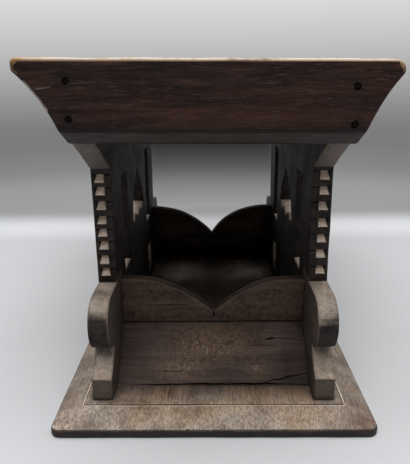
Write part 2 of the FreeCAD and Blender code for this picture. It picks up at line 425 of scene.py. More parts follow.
    def lean(self, slope: float, start: float, end: float) -> "Workpiece":
        """Lets the piece hang down to one side.

        Args:
            slope: How much lower it gets per length along X.
            start: The place along Y where it hangs fully.
            end: The place along Y where it is level.

        Returns:
            This piece.
        """
        for vertex in self.body.data.vertices:
            vertex.co.z -= slope * vertex.co.x * (end - vertex.co.y / MM) / (end - start)
        return self

    def press_flat(self, height: float) -> "Workpiece":
        """Brings all that lies below a height up to it."""
        for vertex in self.body.data.vertices:
            vertex.co.z = max(vertex.co.z, height * MM)
        return self

    def finish(self, smooth_degrees: float = 38.0) -> "Workpiece":
        """Closes the mesh, turns its marks into attributes that the finishes read, and shades it.

        Args:
            smooth_degrees: The angle between two faces up to which their edge is shaded smooth.

        Returns:
            This piece.
        """
        self.edit()
        bpy.ops.mesh.remove_doubles(threshold=0.002 * MM)
        self.turn_out()
        self.close()
        mesh = self.body.data
        mesh.attributes.new("rubbed", "FLOAT", "POINT")
        for mark in (Mark.TONED, Mark.GRIMED_AND_SHADED, Mark.FADED_AND_HIGHLIT):
            mesh.attributes.new(mark.name.lower(), "FLOAT", "FACE")
            layer = mesh.attributes[mark.name.lower()]
            for face in mesh.polygons:
                layer.data[face.index].value = float(face.material_index == mark.value)
        rubbed = mesh.attributes["rubbed"]
        for face in mesh.polygons:
            if face.material_index == Mark.RUBBED.value:
                for corner in face.vertices:
                    rubbed.data[corner].value = 1.0
            face.material_index = 0
        mesh.materials.clear()
        bpy.ops.object.shade_smooth_by_angle(angle=math.radians(smooth_degrees))
        return self

    def tone(self, share: float, chosen: PlaceTest, facing: PlaceTest = lambda normal: True) -> "Workpiece":
        """Gives faces of a finished piece a share of the second tone.

        Args:
            share: The share.
            chosen: A test for the faces' middles.
            facing: A test for their normals.

        Returns:
            This piece.
        """
        toned = self.body.data.attributes["toned"]
        for face in self.body.data.polygons:
            if chosen(face.center / MM) and facing(face.normal):
                toned.data[face.index].value = share
        return self

    def paint(self, name: str, amount: Callable[[Vector], float]) -> "Workpiece":
        """Gives a finished piece an attribute that its finish reads, by an amount for each place."""
        layer = self.body.data.attributes.new(name, "FLOAT", "POINT")
        for vertex in self.body.data.vertices:
            layer.data[vertex.index].value = amount(vertex.co / MM)
        return self


def is_arris(edge: bmesh.types.BMEdge, least_degrees: float = 25.0) -> bool:
    """Whether an edge is sharp and stands out."""
    return (len(edge.link_faces) == 2 and edge.is_convex
            and edge.calc_face_angle() > math.radians(least_degrees))


def middle_of(edge: bmesh.types.BMEdge) -> Vector:
    """The middle of an edge, in millimetres."""
    return (edge.verts[0].co + edge.verts[1].co) / 2 / MM


@dataclass(frozen=True)
class Crack:
    """A crack between two places on a face: its greatest width, how far it strays, and its seed."""

    start: tuple[float, float]
    end: tuple[float, float]
    width: float
    stray: float
    seed: int
    stretch: float = 9.0
    thinnest: float = 0.6

    def cutter(self, at: Callable[[float, float], Vector], into: Vector) -> Workpiece:
        """The long thin cutter for the crack.

        Args:
            at: Gives the point a little outside the face for a place on it.
            into: The direction and depth in which the crack is cut.

        Returns:
            The cutter.
        """
        chance = random.Random(self.seed)
        start, end = at(*self.start), at(*self.end)
        side = (end - start).cross(into).normalized()
        steps = max(3, round((end - start).length / self.stretch))
        inner = range(1, steps)
        line = [start.lerp(end, i / steps) + side * chance.uniform(-self.stray, self.stray) for i in inner]
        widths = [self.width * math.sin(math.pi * i / steps) * chance.uniform(self.thinnest, 1.0)
                  for i in inner]
        upper = [point + side * width / 2 for point, width in zip(line, widths)]
        lower = [point - side * width / 2 for point, width in zip(line, widths)]
        return Workpiece.drawn("crack", [start] + upper + [end] + lower[::-1]).extrude(into)


# Finishes

SEED_SHARES = (1.0, 0.7, 1.3)


class Graph:
    """A node tree under way, with the steps that the finishes and the surroundings share."""

    def __init__(self, tree: bpy.types.NodeTree) -> None:
        """Takes up a tree."""
        self.tree = tree

    def put(self, socket: Socket, value: object) -> None:
        """Links a socket to another, or sets it."""
        if isinstance(value, Socket):
            self.tree.links.new(value, socket)
        else:
            socket.default_value = (*value, 1.0) if socket.type == "RGBA" else value

    def add(self, kind: str, inputs: dict[int | str, object] | None = None,
            **settings: object) -> bpy.types.Node:
        """Adds a node.

        Args:
            kind: Its type, without the words that every shader node's type starts with.
            inputs: What its inputs are linked or set to.
            settings: Its other settings.

        Returns:
            The node.
        """
        node = self.tree.nodes.new("ShaderNode" + kind)
        for name, value in settings.items():
            setattr(node, name, value)
        for key, value in (inputs or {}).items():
            self.put(node.inputs[key], value)
        return node

    def step(self, value: Socket, within: Band, shares: Band = (0.0, 1.0)) -> Socket:
        """A soft change from one share to another, as a value passes between two limits."""
        limits = {"Value": value, "From Min": within[0], "From Max": within[1],
                  "To Min": shares[0], "To Max": shares[1]}
        return self.add("MapRange", limits, interpolation_type="SMOOTHSTEP").outputs[0]

    def math(self, operation: str, *values: object) -> Socket:
        """One arithmetic step."""
        return self.add("Math", dict(enumerate(values)), operation=operation).outputs[0]

    def times(self, first: object, second: object) -> Socket:
        """The product of two values."""
        return self.math("MULTIPLY", first, second)

    def rest(self, share: Socket) -> Socket:
        """What a share leaves of the whole."""
        return self.math("SUBTRACT", 1.0, share)

    def part(self, vector: Socket, axis: int) -> Socket:
        """One of a vector's three parts."""
        return self.add("SeparateXYZ", {0: vector}).outputs[axis]


class Recipe(Graph):
    """A material under way."""

    def __init__(self, name: str) -> None:
        """Starts a material with an empty tree, its output and a Principled shader."""
        self.material = bpy.data.materials.new(name)
        self.material.use_nodes = True
        super().__init__(self.material.node_tree)
        self.tree.nodes.clear()
        self.shader = self.add("BsdfPrincipled")
        self.add("OutputMaterial", {"Surface": self.shader.outputs[0]})
        self.place = self.add("TexCoord").outputs["Object"]
        self.normal = self.add("NewGeometry").outputs["Normal"]

    def noise(self, size: Vector, layers: float, strength: float, seed: float = 0.0,
              place: Socket | None = None) -> Socket:
        """A cloudy pattern.

        Args:
            size: How far apart its spots are along each axis.
            layers: How many finer layers it has.
            strength: How strong they are.
            seed: A shift that makes it another pattern.
            place: The coordinates, where they aren't the object's own.

        Returns:
            The pattern's value, about 0.5 on average.
        """
        mapping = self.add("Mapping", {
            "Vector": place or self.place, "Scale": [1 / (length * MM) for length in size],
            "Location": [seed * share for share in SEED_SHARES]})
        return self.add("TexNoise", {"Vector": mapping.outputs[0], "Scale": 1.0, "Detail": layers,
                                     "Roughness": strength}).outputs[0]

    def blend(self, share: object, first: object, second: object, how: str = "MIX") -> Socket:
        """Lays the second colour over the first by a share."""
        return self.add("Mix", {0: share, 6: first, 7: second}, data_type="RGBA", blend_type=how).outputs[2]

    def attribute(self, name: str) -> Socket:
        """A value that the mesh carries."""
        return self.add("Attribute", attribute_name=name).outputs["Fac"]

    def facing(self, axis: int) -> Socket:
        """How far the surface faces along an axis, from -1 to 1."""
        return self.part(self.normal, axis)

    def openness(self, reach: float) -> Socket:
        """How open the surface lies, from 0 in a deep nook to 1, within a reach in millimetres."""
        return self.add("AmbientOcclusion", {"Distance": reach * MM}, samples=6).outputs["AO"]

    def coat(self, colour: object, roughness: object, specular: float) -> None:
        """Sets the surface's colour and its shine."""
        values = {"Base Color": colour, "Roughness": roughness, "Specular IOR Level": specular}
        for name, value in values.items():
            self.put(self.shader.inputs[name], value)

    def relief(self, height: Socket, depth: float) -> None:
        """Roughens the surface by a pattern, as deep as given in millimetres."""
        bump = self.add("Bump", {"Strength": 1.0, "Distance": depth * MM, "Height": height})
        self.put(self.shader.inputs["Normal"], bump.outputs[0])


@dataclass(frozen=True)
class Pattern:
    """A noise pattern in wood: its size across and along the grain, its layers, their strength, its seed."""

    width: float
    length: float
    layers: float
    strength: float
    seed: float


BEND = Pattern(45.0, 160.0, 2, 0.6, 3)
PORES = Pattern(0.8, 11.0, 2, 0.6, 11)
CHECKS = Pattern(3.2, 130.0, 3, 0.5, 17)
MOTTLE = Pattern(38.0, 38.0, 6, 0.65, 23)
FINE = Pattern(4.5, 4.5, 5, 0.7, 29)
SPECKS = Pattern(2.6, 1.3, 2, 0.5, 31)
BROAD = Pattern(90.0, 90.0, 3, 0.5, 37)
DASHES = Pattern(0.9, 12.0, 2, 0.6, 41)
BLOTCHES = Pattern(9.0, 9.0, 4, 0.6, 47)
BEND_REACH = 9.0
STREAKS = ((0.45, 0.43, 0.42), (1.45, 1.42, 1.4))


@dataclass(frozen=True)
class WoodFinish:
    """Old wood: two tones streaked along the grain, dirt, checks, worn edges pale with painted highlights,
    scuffs, a pale top layer that is partly dusty and partly painted top light, and painted shade in nooks.

    Some faces have a tone of their own, which is the wood's second one.
    """

    name: str
    grain: Grain
    dark: Colour
    light: Colour
    rubbed: Colour
    toned: Colour
    top_dust_and_light: Colour
    warm_top_dust_and_light: Colour
    dash: Colour = (0.06, 0.035, 0.022)
    scuff: Colour = (0.12, 0.08, 0.055)
    faded_and_highlit: Colour = (0.15, 0.125, 0.11)
    grime_and_shade: Colour = (0.006, 0.0045, 0.0045)
    speck: Colour = (0.5, 0.36, 0.2)
    tan: Colour = (0.62, 0.36, 0.16)
    figure: Pattern = Pattern(13.0, 190.0, 5, 0.62, 0)
    fibres: Pattern = Pattern(1.9, 46.0, 4, 0.7, 7)
    grains: Pattern = Pattern(1.1, 5.0, 3, 0.6, 43)
    fibre_contrast: float = 0.55
    grain_share: float = 0.25
    grain_edge: Band = (0.38, 0.6)
    rub_and_highlight_share: float = 0.9
    highlight_facing_start: float = -0.2
    dust_and_top_light_share: float = 0.6
    grime_share: float = 0.5
    check_share: float = 0.8
    nook_shade_share: float = 0.85
    nook_shade_reach: float = 14.0
    dash_share: float = 0.0
    speck_share: float = 0.0
    tan_share: float = 0.0
    scuff_cover: float = 0.0
    roughness: float = 0.62
    specular: float = 0.35
    relief_depth: float = 0.5
    seed: float = 0.0

    def make(self) -> bpy.types.Material:
        """Builds the material, one layer over the other."""
        recipe = WoodRecipe(self)
        for layer in (recipe.grow, recipe.scuff, recipe.dust_light_and_shade, recipe.wear, recipe.surface):
            layer()
        return recipe.material


class WoodRecipe(Recipe):
    """A wood finish under way: the patterns that several layers read, and the colour so far."""

    def __init__(self, finish: WoodFinish) -> None:
        """Draws the patterns, those of the grain along lines that bend a little."""
        super().__init__(finish.name)
        self.finish = finish
        bend = self.times(self.pattern(BEND), BEND_REACH * MM)
        self.wavy = self.add("VectorMath", {0: self.place, 1: bend}, operation="ADD").outputs[0]
        self.fibres = self.pattern(finish.fibres, self.wavy)
        self.mottle, self.fine = self.pattern(MOTTLE), self.pattern(FINE)
        self.splits = self.times(self.step(self.pattern(CHECKS, self.wavy), (0.69, 0.73)), finish.check_share)
        self.toned, self.scuffed = self.attribute("toned"), self.attribute("scuffed")
        figure = self.step(self.pattern(finish.figure, self.wavy), (0.36, 0.66))
        self.colour = self.blend(figure, finish.dark, finish.light)

    def pattern(self, pattern: Pattern, place: Socket | None = None) -> Socket:
        """Draws a pattern out along the wood's grain."""
        grain = self.finish.grain.value
        size = Vector([pattern.length if axis == grain else pattern.width for axis in range(3)])
        return self.noise(size, pattern.layers, pattern.strength, self.finish.seed + pattern.seed, place)

    def scaled(self, value: Socket, gain: float, base: object) -> Socket:
        """A value times a gain, on top of a base."""
        return self.math("MULTIPLY_ADD", value, gain, base)

    def cover(self, share: Socket, colour: object) -> None:
        """Lays a colour over what is there, by a share."""
        self.colour = self.blend(share, self.colour, colour)

    def streaked(self, colour: object, streaks: Socket) -> Socket:
        """A colour with the fibres' streaks in it."""
        return self.blend(self.finish.fibre_contrast, colour, self.blend(1.0, colour, streaks, "MULTIPLY"))

    def grow(self) -> None:
        """Streaks the wood along its fibres, darkens it in clouds and gives some faces their own tone."""
        finish, streaks = self.finish, self.blend(self.step(self.fibres, (0.34, 0.62)), *STREAKS)
        self.colour = self.streaked(self.colour, streaks)
        if finish.dash_share:
            dashes = self.step(self.pattern(DASHES, self.wavy), (0.56, 0.7))
            dashed = self.blend(1.0, self.colour, finish.dash, "ADD")
            self.cover(self.times(dashes, finish.dash_share), dashed)
        self.cover(self.times(self.step(self.mottle, (0.5, 0.72)), finish.grime_share), finish.grime_and_shade)
        self.cover(self.times(self.toned, 0.85), self.streaked(finish.toned, streaks))

    def scuff(self) -> None:
        """Lays the scuffs, and the stains round the nails."""
        scuffs = self.times(self.scuffed, self.step(self.fine, (0.32, 0.62)))
        self.scuffs = self.times(scuffs, self.rest(self.toned))
        self.cover(self.scuffs, self.finish.scuff)
        stains = self.times(self.attribute("stained"), self.step(self.fine, (0.35, 0.6)))
        self.cover(stains, self.finish.grime_and_shade)

    def dust_light_and_shade(self) -> None:
        """Lays a pale layer on what lies level, in grains, streaks and clouds, which is partly dusty and
        partly painted top light, and paints shade into the nooks as dark colour.
        """
        finish = self.finish
        streaky = self.scaled(self.step(self.fibres, (0.32, 0.6)), 0.3, 0.7)
        grains = self.step(self.pattern(finish.grains), finish.grain_edge)
        grainy = self.scaled(grains, finish.grain_share, 1 - finish.grain_share)
        lying = self.math("ADD", self.facing(2), self.math("SUBTRACT", self.mottle, 0.5))
        # The pale layer grows as the surface faces up: it is partly dusty, partly painted top light.
        settled_and_lit = self.times(self.step(lying, (0.15, 0.85)), self.times(streaky, grainy))
        settled_and_lit = self.times(settled_and_lit, self.scaled(self.step(self.mottle, (0.3, 0.6)), 0.6, 0.4))
        settled_and_lit = self.times(settled_and_lit, self.rest(self.attribute("darkened")))
        if finish.scuff_cover:
            settled_and_lit = self.times(settled_and_lit, self.rest(self.times(self.scuffs, finish.scuff_cover)))
        tint = self.blend(self.step(self.pattern(BROAD), (0.5, 0.66)), finish.top_dust_and_light, finish.warm_top_dust_and_light)
        self.cover(self.times(settled_and_lit, finish.dust_and_top_light_share), tint)
        # Painted shade: the wood darkens where ambient occlusion finds it closed in, in nooks, joints and
        # under lips.
        nook = self.step(self.openness(finish.nook_shade_reach), (0.82, 0.42))
        nook = self.times(nook, self.rest(self.times(self.toned, 0.7)))
        self.cover(self.times(nook, finish.nook_shade_share), finish.grime_and_shade)

    def wear(self) -> None:
        """Rubs the edges pale, partly wear and partly a painted highlight where they face up; darkens the
        marked dark faces with dirt and painted shadow lines, and pales the marked pale faces with wear and
        painted highlights; and splits and specks the wood.
        """
        finish, rubbed = self.finish, self.finish.rubbed
        # The worn edges turn pale most where they face up: partly wear, partly a painted highlight.
        worn = self.step(self.attribute("rubbed"), (0.7, 1.0))
        worn = self.times(worn, self.step(self.mottle, (0.22, 0.5)))
        worn = self.times(worn, self.step(self.facing(2), (finish.highlight_facing_start, 0.75)))
        if finish.tan_share:
            blotches = self.times(self.step(self.pattern(BLOTCHES), (0.5, 0.62)), finish.tan_share)
            tanned = self.math("MAXIMUM", blotches, self.attribute("tanned"))
            # Where it faces away from up, the worn colour turns tan; facing up it stays pale, a painted
            # highlight on top.
            tanned = self.math("MAXIMUM", tanned, self.step(self.facing(2), (0.75, -0.15)))
            rubbed = self.blend(tanned, finish.rubbed, finish.tan)
        self.cover(self.times(worn, finish.rub_and_highlight_share), rubbed)
        self.cover(self.times(self.attribute("grimed_and_shaded"), 0.8), finish.grime_and_shade)
        self.cover(self.times(self.attribute("faded_and_highlit"), self.step(self.fine, (0.2, 0.55))), finish.faded_and_highlit)
        self.cover(self.splits, finish.grime_and_shade)
        if finish.speck_share:
            specks = self.step(self.pattern(SPECKS), (0.64, 0.7))
            specks = self.times(specks, self.step(self.scuffed, (0.3, 0.6)))
            self.cover(self.times(specks, finish.speck_share), finish.speck)

    def surface(self) -> None:
        """Gives the wood its colour, its shine and its relief of fibres, pores and checks."""
        gloss = self.scaled(self.step(self.mottle, (0.3, 0.7)), 0.16, self.finish.roughness - 0.08)
        self.coat(self.colour, gloss, self.finish.specular)
        pores = self.times(self.step(self.pattern(PORES, self.wavy), (0.55, 0.7)), 0.2)
        height = self.math("SUBTRACT", self.scaled(self.fibres, 0.6, self.times(self.fine, 0.55)), pores)
        self.relief(self.math("SUBTRACT", height, self.times(self.splits, 1.2)), self.finish.relief_depth)


@dataclass(frozen=True)
class IronFinish:
    """Old nail iron: nearly black, with rust in blooms."""

    name: str = "nail_iron"
    black: Colour = (0.004, 0.004, 0.005)
    rust: Colour = (0.014, 0.008, 0.007)
    bloom: float = 1.6
    pit: float = 0.5
    smoothest: float = 0.65
    specular: float = 0.04
    relief_depth: float = 0.25

    def make(self) -> bpy.types.Material:
        """Builds the material."""
        recipe = Recipe(self.name)
        blooms = recipe.noise(EVEN * self.bloom, 5, 0.65)
        pits = recipe.noise(EVEN * self.pit, 3, 0.6, 5)
        roughness = recipe.math("MAXIMUM", recipe.math("ADD", blooms, 0.2), self.smoothest)
        colour = recipe.blend(recipe.step(blooms, (0.42, 0.62)), self.black, self.rust)
        recipe.coat(colour, roughness, self.specular)
        recipe.relief(recipe.math("ADD", blooms, pits), self.relief_depth)
        return recipe.material


@dataclass(frozen=True)
class PaperFinish:
    """The pale matt sheet under the stool, with a painted pool of light before its back edge and painted
    shade beyond it.
    """

    name: str = "pale_floor"
    tone: Colour = (0.78, 0.79, 0.81)
    cloud: float = 300.0
    cloud_gain: float = 0.97
    glow: Band = (330.0, 435.0)
    light_pool_gain: float = 1.22
    painted_shade_band: Band = (455.0, 600.0)
    painted_shade_gain: float = 0.62
    roughness: float = 0.7
    specular: float = 0.2

    def make(self) -> bpy.types.Material:
        """Builds the material."""
        recipe = Recipe(self.name)
        clouds = recipe.noise(EVEN * self.cloud, 2, 0.5)
        tint = recipe.blend(recipe.step(clouds, (0.3, 0.7)), self._scaled(self.cloud_gain), self.tone)
        # A painted pool of light on the sheet, then painted shade towards its back edge.
        for (start, end), gain in ((self.glow, self.light_pool_gain), (self.painted_shade_band, self.painted_shade_gain)):
            share = recipe.step(recipe.part(recipe.place, 1), (start * MM, end * MM))
            tint = recipe.blend(share, tint, self._scaled(gain))
        recipe.coat(tint, self.roughness, self.specular)
        return recipe.material

    def _scaled(self, gain: float) -> Colour:
        """The sheet's tone, brighter or dimmer."""
        return tuple(gain * part for part in self.tone)


BASE_WOOD = WoodFinish(
    name="base_wood", grain=Grain.LENGTHWISE, dark=(0.05, 0.031, 0.023), light=(0.13, 0.082, 0.056),
    rubbed=(0.8, 0.68, 0.56), toned=(0.011, 0.008, 0.008), top_dust_and_light=(0.9, 0.755, 0.63),
    warm_top_dust_and_light=(0.88, 0.63, 0.43), scuff=(0.2, 0.085, 0.055), faded_and_highlit=(0.9, 0.77, 0.62), scuff_cover=0.85,
    dust_and_top_light_share=0.95, grime_share=0.35, grains=Pattern(1.2, 6.5, 3, 0.6, 43), grain_share=0.5,
    grain_edge=(0.41, 0.58), roughness=0.6, relief_depth=0.9, seed=1.0)
# The side wood's pale second tone, on the notch floors and the sills, is partly bare cut wood and partly
# painted light.
SIDE_WOOD = WoodFinish(
    name="side_wood", grain=Grain.LENGTHWISE, dark=(0.01, 0.0075, 0.007), light=(0.038, 0.027, 0.023),
    rubbed=(0.14, 0.105, 0.085), toned=(0.9, 0.74, 0.6), top_dust_and_light=(0.68, 0.55, 0.45), warm_top_dust_and_light=(0.64, 0.5, 0.38),
    dust_and_top_light_share=0.85, grime_share=0.35, nook_shade_reach=5.0, rub_and_highlight_share=0.4, roughness=0.66, specular=0.25, seed=2.0)
END_WOOD = WoodFinish(
    name="end_wood", grain=Grain.ACROSS, dark=(0.026, 0.017, 0.016), light=(0.085, 0.055, 0.047),
    rubbed=(0.26, 0.19, 0.15), toned=(0.2, 0.15, 0.12), top_dust_and_light=(0.26, 0.18, 0.14), warm_top_dust_and_light=(0.22, 0.14, 0.1),
    scuff=(0.25, 0.155, 0.09), speck=(0.7, 0.56, 0.4), dust_and_top_light_share=0.1, grime_share=0.85, nook_shade_reach=5.0,
    speck_share=0.8, rub_and_highlight_share=0.5, fibre_contrast=0.4, dash_share=0.5, roughness=0.6, specular=0.25,
    seed=3.0)
SEAT_WOOD = WoodFinish(
    name="seat_wood", grain=Grain.ACROSS, dark=(0.011, 0.005, 0.0042), light=(0.038, 0.017, 0.012),
    rubbed=(0.86, 0.73, 0.61), toned=(0.036, 0.031, 0.031), top_dust_and_light=(0.2, 0.14, 0.1),
    warm_top_dust_and_light=(0.2, 0.12, 0.08), dash=(0.04, 0.026, 0.018), scuff=(0.065, 0.022, 0.012),
    faded_and_highlit=(0.26, 0.21, 0.18), tan_share=0.55, highlight_facing_start=-0.45, dust_and_top_light_share=0.3, grime_share=0.35,
    figure=Pattern(7.0, 90.0, 5, 0.62, 0), fibres=Pattern(0.9, 18.0, 4, 0.7, 7), fibre_contrast=0.95,
    dash_share=0.9, roughness=0.55, specular=0.2, seed=4.0)
SEAT_TOP_WOOD = WoodFinish(
    name="seat_top_wood", grain=Grain.LENGTHWISE, dark=(0.03, 0.017, 0.014), light=(0.085, 0.048, 0.034),
    rubbed=(0.2, 0.14, 0.1), toned=(0.2, 0.13, 0.09), top_dust_and_light=(0.22, 0.17, 0.14), warm_top_dust_and_light=(0.22, 0.14, 0.1),
    dust_and_top_light_share=0.3, grime_share=0.4, roughness=0.45, relief_depth=0.35, seed=5.0)


# Sub-assemblies

@dataclass
class Levels:
    """Heights and half widths that several pieces share, read from the frame."""

    base_top: float
    inner_face: float
    outer_face: float
    side_top: float
    top_half: float

    @classmethod
    def of_frame(cls) -> "Levels":
        """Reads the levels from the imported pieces."""
        side = Extent.of("right_side_board")
        return cls(base_top=Extent.of("base_board").high.z, inner_face=side.low.x, outer_face=side.high.x,
                   side_top=side.high.z, top_half=side.high.y)


class Board:
    """What the boards share: how the years moved them, and how they come to stand for their nodes.

    Every kind of board has these values, and a shape of its own.
    """

    node: str
    slot: str
    pitch = (7.0, 7.0, 7.0)
    warp_depth: float
    warp_size: float

    def shape(self) -> Workpiece:
        """Builds the board, ready for its finish."""
        raise NotImplementedError

    def aged(self, piece: Workpiece) -> Workpiece:
        """Divides a shaped piece, warps it and finishes it."""
        return piece.slice(self.pitch).warp(self.warp_depth, self.warp_size).finish()

    def dress(self, finish: bpy.types.Material) -> list[bpy.types.Object]:
        """Shapes the board, gives it its finish and puts it in its node's place."""
        return [installed(self.shape(), self.node, self.slot, finish)]


@dataclass
class BaseBoard(Board):
    """The broad board that the stool stands on, with wide bevels and a line cut round its flat field."""

    levels: Levels
    node: str = "base_board"
    slot: str = "base_wood"
    edge_height: float = 8.3
    bevel_run: float = 26.0
    corner_radius: float = 9.5
    line_inset: float = 0.5
    line_width: float = 1.7
    shadow_width: float = 1.0
    line_depth: float = 0.5
    arris: float = 1.3
    under_arris: float = 2.2
    field_darkening: float = 0.42
    bevel_darkening: float = 0.42
    end_bareness: float = 0.16
    toe_darkening: float = 0.92
    toe_reach: float = 42.0
    toe_margin: float = 16.0
    corner_wear: float = 32.0
    pitch: tuple[float, float, float] = (8.0, 10.4, 0.0)
    warp_depth: float = 1.0
    warp_size: float = 40.0

    def __post_init__(self) -> None:
        """Reads the board's corner and a lower board's toe from the frame."""
        self.corner = Extent.of(self.node).high
        self.toe = Extent.of("front_lower_board").low.y
        self.reach = self.corner - FLAT * (self.bevel_run + self.line_inset)

    def shape(self) -> Workpiece:
        """Draws the board's plan, raises its edge, insets its bevels and sinks the line."""
        plan = flat_rectangle(-self.corner, self.corner)
        piece = Workpiece.drawn("worn_base", plan).extrude(Z_AXIS * self.edge_height)
        piece.edit()
        piece.pick_faces(lambda face: face.normal.z > STRAIGHT and face.calc_center_median().z > 0)
        bpy.ops.mesh.inset(thickness=self.bevel_run * MM)
        bpy.ops.transform.translate(value=(0, 0, (self.corner.z - self.edge_height) * MM))
        for width in (self.line_inset, self.line_width, self.shadow_width):
            bpy.ops.mesh.inset(thickness=width * MM)
        shadow_reach = self.reach - FLAT * self.line_width
        # Painted highlight and shadow: the line's outer ring is painted pale and the ring inside it dark.
        piece.pick_faces(lambda face: self._in_ring(face, self.reach, self.line_width), Mark.FADED_AND_HIGHLIT)
        piece.pick_faces(lambda face: self._in_ring(face, shadow_reach, self.shadow_width), Mark.GRIMED_AND_SHADED)
        piece.pick_faces(lambda face: self._in_ring(face, self.reach, self.line_width + self.shadow_width))
        bpy.ops.mesh.extrude_region_move(TRANSFORM_OT_translate={"value": (0, 0, -self.line_depth * MM)})
        piece.pick_faces(self._on_edge, Mark.TONED)
        piece.close()
        piece.round_edges(self.corner_radius, 5, Mark.TONED, self._at_corner)
        # The rounding under the board takes the near-black second tone: partly the undercut's own shadow,
        # partly a painted contact shadow.
        piece.round_edges(self.under_arris, 2, Mark.TONED, lambda edge: self._level_at(edge, 0))
        piece.round_edges(self.arris, 2, Mark.GRIMED_AND_SHADED, lambda edge: self._level_at(edge, self.edge_height))
        piece.slice(self.pitch).warp(self.warp_depth, self.warp_size).press_flat(0).finish()
        return piece.paint("darkened", self.darkening).paint("scuffed", self.corner_scuff)

    def darkening(self, place: Vector) -> float:
        """How much the pale layer is held back at a place, which leaves it darker: a little on the end
        bevels, more on the side bevels and the field, and the most along a lower board's toe, fading off out
        from it.
        """
        from_toe = abs(place.y) + self.toe
        if abs(place.y) > self.reach.y:
            return self.end_bareness * (1 + place.x / self.corner.x)
        if abs(place.x) > self.reach.x:
            return self.bevel_darkening
        if from_toe > -self.toe_margin and abs(place.x) < self.levels.inner_face:
            return self.toe_darkening * (1 - max(0.0, from_toe) / self.toe_reach)
        return self.field_darkening

    def corner_scuff(self, place: Vector) -> float:
        """How scuffed the wood is, which is most at the corners."""
        off = math.hypot(abs(place.x) - self.corner.x, abs(place.y) - self.corner.y)
        return math.exp(-off ** 2 / self.corner_wear ** 2)

    def _on_edge(self, face: bmesh.types.BMFace) -> bool:
        """Whether a face is part of the upright edge."""
        return abs(face.normal.z) < 1 - STRAIGHT and face.calc_center_median().z < self.edge_height * MM

    def _at_corner(self, edge: bmesh.types.BMEdge) -> bool:
        """Whether an edge is one of the board's four upright corners."""
        middle = middle_of(edge)
        return self.corner.x - abs(middle.x) < NEAR and self.corner.y - abs(middle.y) < NEAR

    def _level_at(self, edge: bmesh.types.BMEdge, height: float) -> bool:
        """Whether an edge lies level at a height."""
        return all(abs(vertex.co.z / MM - height) < NEAR / 10 for vertex in edge.verts)

    def _in_ring(self, face: bmesh.types.BMFace, reach: Vector, width: float) -> bool:
        """Whether a face of the field is part of a ring of a width that reaches out to a corner."""
        middle = face.calc_center_bounds() / MM
        inside = (reach.x - width < abs(middle.x) < reach.x, reach.y - width < abs(middle.y) < reach.y)
        return abs(middle.z - reach.z) < self.line_depth / 2 and any(inside) and face.normal.z > STRAIGHT


